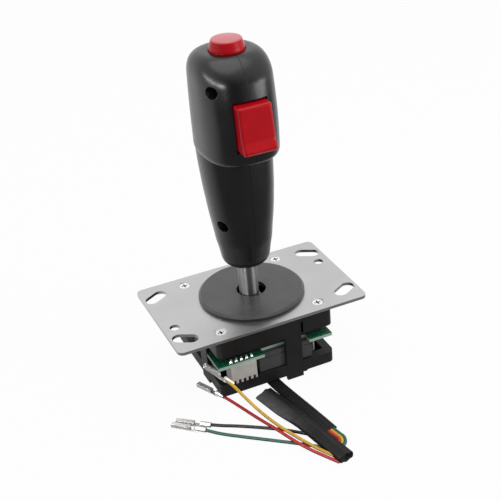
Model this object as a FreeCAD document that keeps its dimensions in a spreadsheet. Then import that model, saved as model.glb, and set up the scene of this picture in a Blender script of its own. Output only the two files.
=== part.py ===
"""Arcade flight stick: a two-shell grip with a top button and a trigger, on a
ball-pivot shaft, over a panel plate and a four-switch base with a loose lead.

Millimetres. The table is z = 0, the shaft's axis is the z axis, the plate's long
side lies along x and the trigger faces -y.
"""
import FreeCAD, Part
import math
import os
import re
import Sketcher
from FreeCAD import Placement, Rotation, Vector

SIZES = {
    # Mounting plate and its screws
    "base_depth": 35.0,
    "plate_length": 97.0,
    "plate_width": 61.5,
    "plate_thickness": 1.6,
    "plate_corner": 3.0,
    "plate_bore": 24.0,
    "slot_end_margin": 7.1,
    "slot_side_margin": 10.45,
    "slot_length": 12.5,
    "slot_width": 6.6,
    "slot_angle": 30.0,
    "pilot_end_margin": 5.9,
    "pilot_offset": 9.4,
    "pilot_diameter": 4.8,
    "screw_inset_x": 4.7,
    "screw_inset_y": 6.1,
    "screw_head": 5.2,
    "screw_shank": 3.0,
    "screw_length": 9.0,
    "screw_sink": 0.4,
    "recess_span": 3.2,
    "recess_width": 0.7,
    "recess_depth": 0.8,
    # Clearances
    "press_gap": 0.02,
    "running_gap": 0.05,
    "slide_gap": 0.08,
    "seam_gap": 0.12,
    # Housing
    "housing_width": 59.6,
    "housing_wall": 2.2,
    "housing_corner": 3.0,
    "housing_floor": 2.4,
    "undercut_depth": 4.2,
    "undercut_height": 4.0,
    "boss_radius": 3.4,
    "socket_radius": 11.0,
    "socket_lip": 0.5,
    "throat_radius": 5.8,
    "spring_recess": 2.0,
    "spring_recess_radius": 7.4,
    "clip_offset": 8.6,
    "clip_width": 8.4,
    "clip_thickness": 1.7,
    "clip_clearance": 0.1,
    "clip_slot": 1.2,
    "clip_slot_top": 2.6,
    "hook_reach": 1.4,
    "hook_height": 1.7,
    # Board, header and switches
    "board_overhang": 0.8,
    "board_right_inset": 1.2,
    "board_thickness": 1.6,
    "board_bore": 24.4,
    "notch_room": 11.4,
    "notch_spare": 3.9,
    "notch_depth": 5.2,
    "header_gap": 2.7,
    "header_length": 13.1,
    "header_setback": -0.6,
    "header_depth": 6.4,
    "header_height": 9.4,
    "header_wall": 0.9,
    "header_roof": 2.2,
    "header_notch": 1.3,
    "header_notch_height": 1.8,
    "pin_pitch": 2.5,
    "pin_setback": 2.4,
    "pin_side": 0.64,
    "pin_rise": 1.8,
    "pin_stop": 1.2,
    "switch_length": 27.8,
    "switch_depth": 15.9,
    "switch_thickness": 9.8,
    "switch_margin": 0.1,
    "switch_lead": 9.0,
    "switch_rib": 0.5,
    "plunger_width": 3.0,
    "plunger_height": 2.0,
    "plunger_gap": 2.2,
    "plunger_seat": 3.4,
    "plunger_chamfer": 0.5,
    "plunger_room": 1.1,
    "blade_width": 1.2,
    "blade_thickness": 0.6,
    "blade_reach": 2.0,
    "blade_drop": 8.2,
    "blade_inset": 2.0,
    "blade_pitch": 5.9,
    # Gate
    "gate_lift": 2.6,
    "gate_height": 6.0,
    "gate_floor": 2.6,
    "gate_rim": 2.5,
    "gate_corner": 3.0,
    "gate_opening": 17.0,
    "gate_opening_corner": 1.5,
    "gate_collar": 2.5,
    "peg_offset": 15.0,
    "peg_inset": 1.9,
    "peg_radius": 1.7,
    "peg_clearance": 0.3,
    # Dust washer
    "washer_diameter": 51.8,
    "washer_bore": 14.4,
    "washer_thickness": 2.4,
    "washer_bevel": 1.1,
    "washer_shift": 1.1,
    # Shaft, ball, actuator and spring
    "pivot_drop": 6.0,
    "ball_radius": 7.5,
    "shaft_radius": 4.75,
    "neck_radius": 4.0,
    "wire_bore": 2.2,
    "shaft_end": 5.4,
    "neck_top": 22.5,
    "ring_lift": 0.7,
    "ring_thickness": 0.8,
    "ring_groove": 3.3,
    "ring_radius": 5.0,
    "follower_radius": 5.2,
    "actuator_radius": 8.4,
    "actuator_band": 2.0,
    "actuator_cone": 2.5,
    "actuator_flange": 0.9,
    "flange_radius": 7.6,
    "hub_height": 2.6,
    "hub_radius": 5.4,
    "spring_radius": 6.6,
    "spring_wire": 0.9,
    "spring_turns": 4.0,
    # Grip
    "grip_rise": 19.0,
    "foot_round": 4.0,
    "foot_radius": 10.8,
    "handle_radius": 17.15,
    "handle_lean": 3.4,
    "handle_flat": 1.1,
    "handle_square": 0.35,
    "step_rise": 77.5,
    "head_half_width": 17.7,
    "head_front": 23.4,
    "head_back": 20.0,
    "head_round": 3.3,
    "head_bulge": 0.3,
    "head_square": 0.6,
    "front_bow": 2.4,
    "bulge_rise": 91.0,
    "head_rise": 124.5,
    "shoulder_height": 12.0,
    "crown_radius": 9.6,
    "side_shoulder": 2.7,
    "back_shoulder": 2.8,
    "front_shoulder": 1.6,
    "grip_wall": 2.4,
    "crown_wall": 3.1,
    "rib_thickness": 2.4,
    "rib_rise": 37.0,
    "clamp_rise": 49.0,
    "clamp_height": 7.0,
    "shaft_flat": 3.5,
    "shaft_top": 6.0,
    "nut_across": 13.0,
    "nut_height": 5.0,
    "grip_boss": 3.8,
    "grip_screw_head": 5.2,
    "grip_head_height": 2.0,
    "grip_screw_shank": 2.9,
    "grip_screw_length": 10.5,
    "grip_recess": 5.6,
    "grip_recess_floor": 3.5,
    "post_radius": 2.4,
    "post_pin_radius": 1.1,
    # Button, trigger and the small switches in the head
    "button_radius": 8.1,
    "button_top_radius": 6.8,
    "button_gap": 0.3,
    "button_rise": 130.0,
    "button_crown": 0.5,
    "button_taper": 4.0,
    "button_round": 0.9,
    "button_flange": 1.35,
    "button_flange_height": 1.5,
    "button_stem_radius": 2.5,
    "button_stem": 2.5,
    "small_switch_length": 20.0,
    "small_switch_depth": 10.0,
    "small_switch_width": 6.4,
    "small_plunger": 2.3,
    "small_plunger_length": 5.0,
    "small_plunger_side": 2.0,
    "contact_gap": 0.35,
    "top_switch_back": 11.5,
    "top_hole_front": 4.5,
    "top_hole_back": 7.5,
    "top_hole_drop": 7.0,
    "trigger_width": 15.6,
    "trigger_gap": 0.35,
    "trigger_low": 86.0,
    "trigger_high": 107.0,
    "trigger_top_front": 26.4,
    "trigger_crease_front": 28.6,
    "trigger_crease_rise": 5.2,
    "trigger_lip_front": 30.4,
    "trigger_lip_rise": 1.8,
    "trigger_back": 12.8,
    "trigger_sole_front": 29.2,
    "trigger_round": 1.2,
    "trigger_crease_round": 4.0,
    "trigger_side_round": 0.9,
    "trigger_pivot_y": 15.0,
    "trigger_pivot_drop": 2.5,
    "trigger_pin_radius": 1.25,
    "trigger_pin_length": 27.0,
    "window_room": 0.8,
    "trigger_switch_low": 83.5,
    "trigger_plunger_rise": 92.0,
    "trigger_hole_front": 5.5,
    "trigger_hole_low": 3.5,
    "trigger_hole_high": 16.5,
    # Lead, wires and crimp terminals
    "sleeve_width": 6.4,
    "sleeve_thickness": 2.0,
    "sleeve_height": 1.1,
    "bend_width": 4.7,
    "hank_width": 7.4,
    "hank_thickness": 4.8,
    "hank_height": 2.5,
    "wire_diameter": 1.5,
    "crimp_length": 5.0,
    "crimp_radius": 1.2,
    "contact_length": 9.0,
    "contact_width": 2.2,
    "contact_height": 1.8,
    "contact_wall": 0.35,
    "terminal_neck": 3.0,
}

# Heights that several pieces share
PLATE_BOTTOM = "(base_depth - plate_thickness)"
GATE_BOTTOM = "gate_lift"
GATE_TOP = "(gate_lift + gate_height)"
BOARD_BOTTOM = f"({GATE_TOP} + switch_thickness)"
BOARD_TOP = f"({BOARD_BOTTOM} + board_thickness)"
HOUSING_HEIGHT = f"({PLATE_BOTTOM} - {BOARD_TOP})"
SWITCH_MIDDLE = f"({GATE_TOP} + switch_thickness / 2)"
SCREW_TOP = "(base_depth - screw_sink)"
SCREW_NECK = f"({SCREW_TOP} - (screw_head - screw_shank) / 2)"
PIVOT = "(base_depth - pivot_drop)"
HEAD_TOP = "(base_depth + head_rise)"
CLAMP_LOW = "(base_depth + clamp_rise)"
CLAMP_HIGH = f"({CLAMP_LOW} + clamp_height)"
RING_LOW = "(shaft_end + ring_lift)"
RING_HIGH = f"({RING_LOW} + ring_thickness)"
FLANGE_TOP = f"({SWITCH_MIDDLE} + actuator_band / 2 + actuator_flange)"
SPRING_TOP = f"({BOARD_TOP} + spring_recess)"
CLIP_INNER = "(housing_width / 2 - clip_thickness)"
GATE_HALF = f"({CLIP_INNER} - clip_clearance)"
BOARD_HALF = "(housing_width / 2 + board_overhang)"
HEADER_LEFT = "-(switch_lead + header_gap + header_length)"
HEADER_FRONT = f"(header_setback - {BOARD_HALF})"
SWITCH_OUTER = f"({GATE_HALF} - switch_margin)"
SWITCH_INNER = f"({SWITCH_OUTER} - switch_depth)"
PLUNGER_TIP = "(actuator_radius + plunger_gap)"
PLUNGER_ROOT = f"({SWITCH_INNER} + plunger_seat)"
BUTTON_FLANGE_TOP = f"({HEAD_TOP} - crown_wall - button_gap)"
BUTTON_FLANGE_LOW = f"({BUTTON_FLANGE_TOP} - button_flange_height)"
BUTTON_STEM_LOW = f"({BUTTON_FLANGE_LOW} - button_stem)"
TOP_CASE = f"({BUTTON_STEM_LOW} - contact_gap - small_plunger)"
TRIGGER_LOW = "(base_depth + trigger_low)"
TRIGGER_HIGH = "(base_depth + trigger_high)"
TRIGGER_PIVOT = f"({TRIGGER_HIGH} - trigger_pivot_drop)"
TRIGGER_CASE = "(trigger_back - contact_gap - small_plunger)"
TRIGGER_SWITCH_LOW = "(base_depth + trigger_switch_low)"

# Screw places in the grip, as (forward of the axis, above the plate)
GRIP_SCREWS = {
    "head_front_screw": (14.2, 112.0),
    "head_back_screw": (-13.2, 99.5),
    "middle_screw": (6.8, 44.0),
    "foot_screw": (-7.6, 24.0),
}
for screw, (forward, rise) in GRIP_SCREWS.items():
    SIZES[screw + "_forward"] = forward
    SIZES[screw + "_rise"] = rise

# Routes of the lead and its wires, chosen by hand, and each terminal's tip
ROUTES = {
    "lead_sleeve": [(0.0, 3.4, 1.1), (-2.6, -12.0, 1.1), (-3.2, -27.0, 1.1), (-0.3, -45.0, 1.1),
                    (2.25, -59.0, 1.1), (4.5, -74.0, 1.1)],
    "lead_bend": [(4.5, -74.0, 1.1), (5.04, -77.6, 1.1), (6.2, -81.2, 1.1), (4.4, -84.8, 1.1),
                  (0.6, -86.4, 1.1)],
    "lead_hank": [(1.0, -95.0, 2.5), (-2.6, -76.0, 2.5), (-6.6, -55.0, 2.5), (-10.8, -36.6, 2.5)],
    "wire_yellow": [(-1.6, -92.6, 1.9), (-5.8, -86.4, 2.1), (-10.6, -76.0, 2.7), (-15.4, -64.6, 3.5),
                    (-19.4, -53.6, 5.0), (-23.2, -43.8, 8.8), (-27.0, -37.0, 14.0),
                    (-29.6, -35.0, 17.2)],
    "wire_red": [(-2.3, -94.6, 0.9), (-6.2, -88.6, 1.4), (-10.7, -82.1, 2.4), (-14.9, -71.7, 2.7),
                 (-17.2, -64.1, 2.7), (-21.4, -51.4, 2.1), (-24.8, -37.6, 0.9), (-28.0, -28.4, 1.0),
                 (-30.4, -23.0, 1.3)],
    "wire_black": [(-3.4, -73.6, 0.8), (-8.2, -68.5, 0.8), (-14.0, -63.0, 0.8), (-20.1, -58.2, 0.8),
                   (-30.7, -50.6, 0.8), (-39.5, -45.6, 1.0), (-45.7, -41.0, 1.35)],
    "wire_green": [(-1.4, -84.6, 0.8), (-7.0, -79.6, 0.8), (-13.5, -73.8, 0.8), (-19.6, -68.8, 0.8),
                   (-29.8, -60.4, 0.8), (-40.1, -51.8, 0.8), (-45.1, -46.3, 1.1), (-48.8, -42.9, 1.35)],
}
TERMINAL_AIMS = {
    "yellow": (-38.0, -32.0, 26.5),
    "red": (-36.8, -9.95, 1.6),
    "black": (-55.3, -32.9, 1.5),
    "green": (-57.6, -34.7, 1.5),
}

doc = FreeCAD.newDocument("flight_stick")
sheet = doc.addObject("Spreadsheet::Sheet", "Sizes")
for row, (size_name, size_value) in enumerate(SIZES.items(), 1):
    sheet.set(f"A{row}", size_name)
    sheet.set(f"B{row}", str(size_value))
    sheet.setAlias(f"B{row}", size_name)
doc.recompute()

NODES = []
QUARTERS = range(4)
CORNERS = [(-1, -1), (1, -1), (1, 1), (-1, 1)]
AXIS_TURNS = {
    "x": Rotation(Vector(0, 1, 0), 90),
    "y": Rotation(Vector(1, 0, 0), -90),
    "z": Rotation(),
}
FAR = "200"


def size(name):
    """The value that the sheet holds for a size."""
    return float(sheet.get(name))


def formula(text):
    """An expression in which every size name is read from the sheet."""
    def from_sheet(word):
        return f"Sizes.{word.group()}" if word.group() in SIZES else word.group()
    return re.sub(r"[a-z_]+", from_sheet, str(text))


def bind(item, formulas):
    """Ties properties of an object to formulas on the sheet's sizes."""
    for name, text in formulas.items():
        item.setExpression(name, formula(text))


def node(label, item):
    """Marks an object as a finished sub-part under the name of its file."""
    item.Label = label
    NODES.append(item)
    return item


def quarter_turn(index):
    """The placement of one of four like pieces around the shaft."""
    return Placement(Vector(), Rotation(Vector(0, 0, 1), 90 * index))


def box(name, x, y, z):
    """A box between two formulas along each axis."""
    item = doc.addObject("Part::Box", name)
    for side, axis, (low, high) in zip(("Length", "Width", "Height"), "xyz", (x, y, z)):
        bind(item, {side: f"({high}) - ({low})", f"Placement.Base.{axis}": low})
    return item


def along(item, axis, centre, low):
    """Turns a round piece onto an axis and stands it at its centre and low end."""
    item.Placement = Placement(Vector(), AXIS_TURNS[axis])
    across = [letter for letter in "xyz" if letter != axis]
    places = dict(zip(across, centre)) | {axis: low}
    bind(item, {f"Placement.Base.{letter}": text for letter, text in places.items()})
    return item


def cylinder(name, radius, axis, centre, low, high):
    """A cylinder along an axis between two formulas."""
    item = doc.addObject("Part::Cylinder", name)
    bind(item, {"Radius": radius, "Height": f"({high}) - ({low})"})
    return along(item, axis, centre, low)


def cone(name, low_radius, high_radius, axis, centre, low, high):
    """A cone along an axis between two formulas."""
    item = doc.addObject("Part::Cone", name)
    bind(item, {"Radius1": low_radius, "Radius2": high_radius, "Height": f"({high}) - ({low})"})
    return along(item, axis, centre, low)


def fuse(name, *items):
    """One solid of several."""
    item = doc.addObject("Part::MultiFuse", name)
    item.Shapes = list(items)
    item.Refine = True
    return item


def common(name, *items):
    """What several solids share."""
    item = doc.addObject("Part::MultiCommon", name)
    item.Shapes = list(items)
    return item


def cut(name, base, *tools):
    """A solid less others."""
    item = doc.addObject("Part::Cut", name)
    item.Base = base
    item.Tool = tools[0] if len(tools) == 1 else fuse(name + "_tools", *tools)
    item.Refine = True
    return item


def group(name, *items):
    """Separate solids that share one node."""
    item = doc.addObject("Part::Compound", name)
    item.Links = list(items)
    return item


def new_body(name):
    """An empty body."""
    return doc.addObject("PartDesign::Body", name)


def sketch(body, role, offset="0"):
    """A sketch on one of the body's own planes, moved along its normal."""
    plane = next(item for item in body.Origin.OriginFeatures if item.Role == role)
    item = body.newObject("Sketcher::SketchObject", body.Name + "_sketch")
    item.AttachmentSupport = [(plane, "")]
    item.MapMode = "FlatFace"
    bind(item, {"AttachmentOffset.Base.z": offset})
    return item


def fix_point(item, curve, end, x, y):
    """Ties a point of a sketch to two formulas."""
    for kind, text in (("DistanceX", x), ("DistanceY", y)):
        place = getattr(item.getPoint(curve, end), kind[-1].lower())
        index = item.addConstraint(Sketcher.Constraint(kind, -1, 1, curve, end, place))
        bind(item, {f"Constraints[{index}]": text})


def outline(item, corners):
    """A closed outline of straight lines through corners given as formulas."""
    count = len(corners)
    first = item.GeometryCount
    start = [Vector(10 * math.cos(2 * math.pi * k / count), 10 * math.sin(2 * math.pi * k / count), 0)
             for k in range(count)]
    for k in range(count):
        item.addGeometry(Part.LineSegment(start[k], start[(k + 1) % count]), False)
    for k in range(count):
        after = first + (k + 1) % count
        item.addConstraint(Sketcher.Constraint("Coincident", first + k, 2, after, 1))
    for k, (x, y) in enumerate(corners):
        fix_point(item, first + k, 1, x, y)
    return item


def circle(item, x, y, radius):
    """A circle with its centre and radius given as formulas."""
    index = item.addGeometry(Part.Circle(Vector(1, 1, 0), Vector(0, 0, 1), 1.0), False)
    fix_point(item, index, 3, x, y)
    ruled = item.addConstraint(Sketcher.Constraint("Radius", index, 1.0))
    bind(item, {f"Constraints[{ruled}]": radius})
    return item


def rectangle(item, half_x, half_y):
    """A rectangle about the sketch's origin."""
    return outline(item, [(f"{sx} * ({half_x})", f"{sy} * ({half_y})") for sx, sy in CORNERS])


def pad(body, profile, length):
    """Raises a sketch by a length along its normal."""
    item = body.newObject("PartDesign::Pad", body.Name + "_pad")
    item.Profile = profile
    bind(item, {"Length": length})
    doc.recompute()
    return item


def pocket(body, profile, length):
    """Sinks a sketch by a length against its normal, and checks that it cut."""
    before = body.Shape.Volume
    item = body.newObject("PartDesign::Pocket", body.Name + "_pocket")
    item.Profile = profile
    bind(item, {"Length": length})
    doc.recompute()
    if body.Shape.Volume >= before:
        raise RuntimeError(f"a pocket in {body.Name} cuts nothing")
    return item


def round_edges(body, radius, wanted):
    """Rounds the body's edges that a test picks."""
    last = body.Tip
    names = [f"Edge{k}" for k, edge in enumerate(last.Shape.Edges, 1) if wanted(edge)]
    item = body.newObject("PartDesign::Fillet", body.Name + "_round")
    item.Base = (last, names)
    bind(item, {"Radius": radius})
    doc.recompute()
    return item


def is_upright(edge):
    """Tells whether an edge is straight and runs along z."""
    ends = [vertex.Point for vertex in edge.Vertexes]
    return len(ends) == 2 and (ends[1] - ends[0]).cross(Vector(0, 0, 1)).Length < 1e-6


def turned(name, corners):
    """A body turned about the z axis from (radius, height) corners."""
    body = new_body(name)
    profile = outline(sketch(body, "XZ_Plane"), corners)
    doc.recompute()
    item = body.newObject("PartDesign::Revolution", name + "_turn")
    item.Profile = profile
    item.ReferenceAxis = (profile, ["V_Axis"])
    item.Angle = 360
    doc.recompute()
    return body


def square_block(name, half, corner, low, high):
    """A square block about the axis with rounded upright corners."""
    body = new_body(name)
    pad(body, rectangle(sketch(body, "XY_Plane", low), half, half), f"{high} - {low}")
    round_edges(body, corner, is_upright)
    return body


def screw_place(sx, sy):
    """Where one of the four housing screws stands."""
    return f"{sx} * (housing_width / 2 - screw_inset_x)", f"{sy} * (housing_width / 2 - screw_inset_y)"


def mounting_plate():
    """The steel plate: a rounded sheet with slots, pilot holes and countersinks."""
    body = new_body("plate_blank")
    blank = rectangle(sketch(body, "XY_Plane", PLATE_BOTTOM), "plate_length / 2", "plate_width / 2")
    pad(body, blank, "plate_thickness")
    round_edges(body, "plate_corner", is_upright)
    tools = [cylinder("plate_bore_tool", "plate_bore / 2", "z", ("0", "0"), "0", FAR)]
    for index, (sx, sy) in enumerate(CORNERS):
        tools.append(plate_slot(index, sx, sy))
        place = screw_place(sx, sy)
        tools.append(cylinder(f"plate_hole_{index}", "screw_shank / 2 + press_gap", "z", place, "0", FAR))
        tools.append(cone(f"plate_sink_{index}", "screw_shank / 2 + press_gap",
                          "screw_head / 2 + screw_sink + press_gap", "z", place, SCREW_NECK, "base_depth"))
    for sign in (-1, 1):
        place = (f"{sign} * (plate_length / 2 - pilot_end_margin)", f"{sign} * pilot_offset")
        tools.append(cylinder(f"plate_pilot_{sign + 1}", "pilot_diameter / 2", "z", place, "0", FAR))
    node("mounting_plate", cut("mounting_plate", body, *tools))


def plate_slot(index, sx, sy):
    """A round-ended slot whose outer end leans towards the plate's middle line."""
    half = "(slot_length - slot_width) / 2"
    ends = [cylinder(f"slot_end_{index}_{sign + 1}", "slot_width / 2", "z", (f"{sign} * {half}", "0"),
                     "0", FAR) for sign in (-1, 1)]
    middle = box(f"slot_middle_{index}", (f"-{half}", half), ("-slot_width / 2", "slot_width / 2"),
                 ("0", FAR))
    item = fuse(f"plate_slot_{index}", middle, *ends)
    item.Placement = Placement(Vector(), Rotation(Vector(0, 0, 1), 1))
    bind(item, {
        "Placement.Rotation.Angle": f"{-sx * sy} * slot_angle",
        "Placement.Base.x": f"{sx} * (plate_length / 2 - slot_end_margin)",
        "Placement.Base.y": f"{sy} * (plate_width / 2 - slot_side_margin)",
    })
    return item


def cross_recess(name, place, depth_low, depth_high):
    """The two crossed cuts of a screw's driver recess, seen along z."""
    x, y = place
    arms = []
    for index, (along_x, along_y) in enumerate((("recess_span", "recess_width"),
                                                ("recess_width", "recess_span"))):
        arms.append(box(f"{name}_{index}", (f"{x} - {along_x} / 2", f"{x} + {along_x} / 2"),
                        (f"{y} - {along_y} / 2", f"{y} + {along_y} / 2"), (depth_low, depth_high)))
    return arms


def plate_screws():
    """Four countersunk screws that hold the housing under the plate."""
    screws = []
    for index, (sx, sy) in enumerate(CORNERS):
        place = screw_place(sx, sy)
        head = cone(f"screw_head_{index}", "screw_shank / 2", "screw_head / 2", "z", place, SCREW_NECK, SCREW_TOP)
        shank = cylinder(f"screw_shank_{index}", "screw_shank / 2", "z", place,
                         "base_depth - screw_length", SCREW_NECK)
        recess = cross_recess(f"screw_recess_{index}", place, f"{SCREW_TOP} - recess_depth", "base_depth + 1")
        screws.append(cut(f"plate_screw_{index}", fuse(f"screw_blank_{index}", head, shank), *recess))
    node("plate_screws", group("plate_screws", *screws))


def base_housing():
    """The moulded housing: a wall, a floor with the ball's socket, and four clip legs."""
    half = "housing_width / 2"
    body = square_block("housing_blank", half, "housing_corner", BOARD_TOP, PLATE_BOTTOM)
    room = rectangle(sketch(body, "XY_Plane", PLATE_BOTTOM), f"{half} - housing_wall", f"{half} - housing_wall")
    pocket(body, room, f"{HOUSING_HEIGHT} - undercut_height - housing_floor")
    socket = circle(sketch(body, "XY_Plane", BOARD_TOP), "0", "0", "socket_radius")
    pad(body, socket, f"{PIVOT} - socket_lip - {BOARD_TOP}")
    for sx, sy in CORNERS:
        boss = circle(sketch(body, "XY_Plane", BOARD_TOP), *screw_place(sx, sy), "boss_radius")
        pad(body, boss, HOUSING_HEIGHT)
    tools = [ball("socket_seat", "ball_radius + running_gap")]
    tools.append(cylinder("socket_throat", "throat_radius", "z", ("0", "0"), "0", PIVOT))
    tools.append(cylinder("spring_recess_tool", "spring_recess_radius", "z", ("0", "0"), "0", SPRING_TOP))
    tools += [cylinder(f"boss_hole_{k}", "screw_shank / 2 + press_gap", "z",
                       screw_place(sx, sy), "base_depth - screw_length - running_gap", FAR) for k, (sx, sy) in enumerate(CORNERS)]
    waist = f"{half} - undercut_depth"
    ring = cut("undercut_ring", box("undercut_outer", ("-100", "100"), ("-100", "100"),
                                    ("0", f"{BOARD_TOP} + undercut_height")),
               box("undercut_inner", (f"-({waist})", waist), (f"-({waist})", waist), ("0", FAR)))
    bare = cut("housing_bare", body, ring, *tools)
    slots = [clip_slots(index) for index in QUARTERS]
    clips = [clip_leg(index) for index in QUARTERS]
    node("base_housing", fuse("base_housing", cut("housing_slotted", bare, *slots), *clips))


def clip_slots(index):
    """The cut in the wall that frees one leg on both sides."""
    half = "clip_width / 2 + clip_slot"
    item = box(f"clip_slot_{index}", (f"clip_offset - {half}", f"clip_offset + {half}"),
               ("-housing_width / 2 - 1", f"-{CLIP_INNER} + housing_wall"),
               ("0", f"{PLATE_BOTTOM} - clip_slot_top"))
    return turned_box(item, index)


def turned_box(item, index):
    """A box carried round the shaft to one of the four sides."""
    holder = group(f"{item.Name}_side", item)
    holder.Placement = quarter_turn(index)
    return holder


def clip_leg(index):
    """A spring leg from under the plate to the table, with a hook under the gate."""
    span = ("clip_offset - clip_width / 2", "clip_offset + clip_width / 2")
    leg = box(f"clip_leg_{index}", span, ("-housing_width / 2", f"-{CLIP_INNER}"), ("0", PLATE_BOTTOM))
    hook = box(f"clip_hook_{index}", span, (f"-{CLIP_INNER}", f"-{CLIP_INNER} + hook_reach"),
               (f"{GATE_BOTTOM} - clip_clearance - hook_height", f"{GATE_BOTTOM} - clip_clearance"))
    item = fuse(f"clip_{index}", leg, hook)
    item.Placement = quarter_turn(index)
    return item


def ball(name, radius):
    """A sphere about the pivot."""
    item = doc.addObject("Part::Sphere", name)
    bind(item, {"Radius": radius, "Placement.Base.z": PIVOT})
    return item


def around(x, y, index):
    """A corner given as formulas, carried round the axis by quarter turns."""
    for _ in range(index):
        x, y = f"-({y})", x
    return x, y


def switch_board():
    """The circuit board: a square notched on each side for a clip leg."""
    half = BOARD_HALF
    start = "(clip_offset - clip_width / 2 - notch_room)"
    end = "(clip_offset + clip_width / 2 + notch_spare)"
    side = [(f"-{half}", f"-{half}"), (start, f"-{half}"), (start, f"-{half} + notch_depth"),
            (end, f"-{half} + notch_depth"), (end, f"-{half}")]
    corners = [around(x, y, index) for index in QUARTERS for x, y in side]
    body = new_body("board_blank")
    pad(body, outline(sketch(body, "XY_Plane", BOARD_BOTTOM), corners), "board_thickness")
    holes = [cylinder("board_bore_tool", "board_bore / 2", "z", ("0", "0"), "0", FAR)]
    holes += [cylinder(f"board_pin_hole_{k}", "pin_side * 0.75", "z", place, "0", FAR)
              for k, place in enumerate(header_places())]
    holes.append(box("board_right_trim", ("housing_width / 2 - board_right_inset", "100"), ("-100", "100"), ("0", FAR)))
    node("switch_board", cut("switch_board", body, *holes))


def header_places():
    """Where the header's five pins stand."""
    middle = f"({HEADER_LEFT} + header_length / 2)"
    return [(f"{middle} + {k} * pin_pitch", f"{HEADER_FRONT} + pin_setback") for k in range(-2, 3)]


def header_shell():
    """The white pin header under the board, open below, with a notched front wall."""
    left = HEADER_LEFT
    right = f"({left} + header_length)"
    front = HEADER_FRONT
    back = f"({front} + header_depth)"
    low = f"({BOARD_BOTTOM} - header_height)"
    blank = box("header_blank", (left, right), (front, back), (low, BOARD_BOTTOM))
    tools = [box("header_room", (f"{left} + header_wall", f"{right} - header_wall"),
                 (f"{front} + header_wall", f"{back} - header_wall"), ("0", f"{BOARD_BOTTOM} - header_roof"))]
    for index, (x, y) in enumerate(header_places()):
        tools.append(cylinder(f"header_hole_{index}", "pin_side * 0.75", "z", (x, y), "0", FAR))
        tools.append(box(f"header_notch_{index}", (f"{x} - header_notch / 2", f"{x} + header_notch / 2"),
                         (f"{front} - 1", f"{front} + header_wall"), ("0", f"{low} + header_notch_height")))
    node("header_shell", cut("header_shell", blank, *tools))


def header_pins():
    """Five square pins through the header and the board."""
    low = f"{BOARD_BOTTOM} - header_height + pin_stop"
    pins = [box(f"header_pin_{k}", (f"{x} - pin_side / 2", f"{x} + pin_side / 2"),
                (f"{y} - pin_side / 2", f"{y} + pin_side / 2"), (low, f"{BOARD_TOP} + pin_rise"))
            for k, (x, y) in enumerate(header_places())]
    node("header_pins", group("header_pins", *pins))


SIDES = ("front", "right", "back", "left")


def base_switch(index):
    """A microswitch case, with a ribbed outer face and a slot for its plunger."""
    name = f"switch_{SIDES[index]}"
    low_x = "-switch_lead"
    high_x = "(switch_length - switch_lead)"
    blank = box(f"{name}_case", (low_x, high_x), (f"-{SWITCH_OUTER}", f"-{SWITCH_INNER}"), (GATE_TOP, BOARD_BOTTOM))
    slot = box(f"{name}_slot", ("-plunger_width / 2 - slide_gap", "plunger_width / 2 + slide_gap"),
               (f"-{PLUNGER_ROOT} - plunger_room", "0"),
               (f"{SWITCH_MIDDLE} - plunger_height / 2 - slide_gap",
                f"{SWITCH_MIDDLE} + plunger_height / 2 + slide_gap"))
    seam = box(f"{name}_seam", (f"{low_x} - 1", f"{high_x} + 1"),
               (f"-{SWITCH_OUTER} - 1", f"-{SWITCH_OUTER} + switch_rib"),
               (f"{BOARD_BOTTOM} - switch_thickness / 4 - switch_rib", f"{BOARD_BOTTOM} - switch_thickness / 4"))
    item = cut(name, blank, slot, seam)
    item.Placement = quarter_turn(index)
    node(name, item)


def base_plunger(index):
    """A switch's plunger, with a chamfered tip that points at the actuator."""
    half = "plunger_width / 2"
    tip = f"-{PLUNGER_TIP}"
    root = f"-{PLUNGER_ROOT}"
    body = new_body(f"plunger_{SIDES[index]}")
    corners = [(f"-{half}", root), (half, root), (half, f"{tip} - plunger_chamfer"),
               (f"{half} - plunger_chamfer", tip), (f"-{half} + plunger_chamfer", tip),
               (f"-{half}", f"{tip} - plunger_chamfer")]
    profile = outline(sketch(body, "XY_Plane", f"{SWITCH_MIDDLE} - plunger_height / 2"), corners)
    pad(body, profile, "plunger_height")
    body.Placement = quarter_turn(index)
    node(body.Name, body)


def switch_terminals():
    """Three bent blades from each switch's end up to the board."""
    end = "(switch_length - switch_lead)"
    blades = []
    for index in QUARTERS:
        for row in range(3):
            y = f"-{SWITCH_OUTER} + blade_inset + {row} * blade_pitch"
            across = (f"{y} - blade_width / 2", f"{y} + blade_width / 2")
            low = f"{BOARD_BOTTOM} - blade_drop"
            flat = box(f"blade_flat_{index}_{row}", (end, f"{end} + blade_reach"), across,
                       (low, f"{low} + blade_thickness"))
            upright = box(f"blade_upright_{index}_{row}",
                          (f"{end} + blade_reach - blade_thickness", f"{end} + blade_reach"), across,
                          (low, BOARD_BOTTOM))
            blade = fuse(f"blade_{index}_{row}", flat, upright)
            blade.Placement = quarter_turn(index)
            blades.append(blade)
    node("switch_terminals", group("switch_terminals", *blades))


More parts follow.
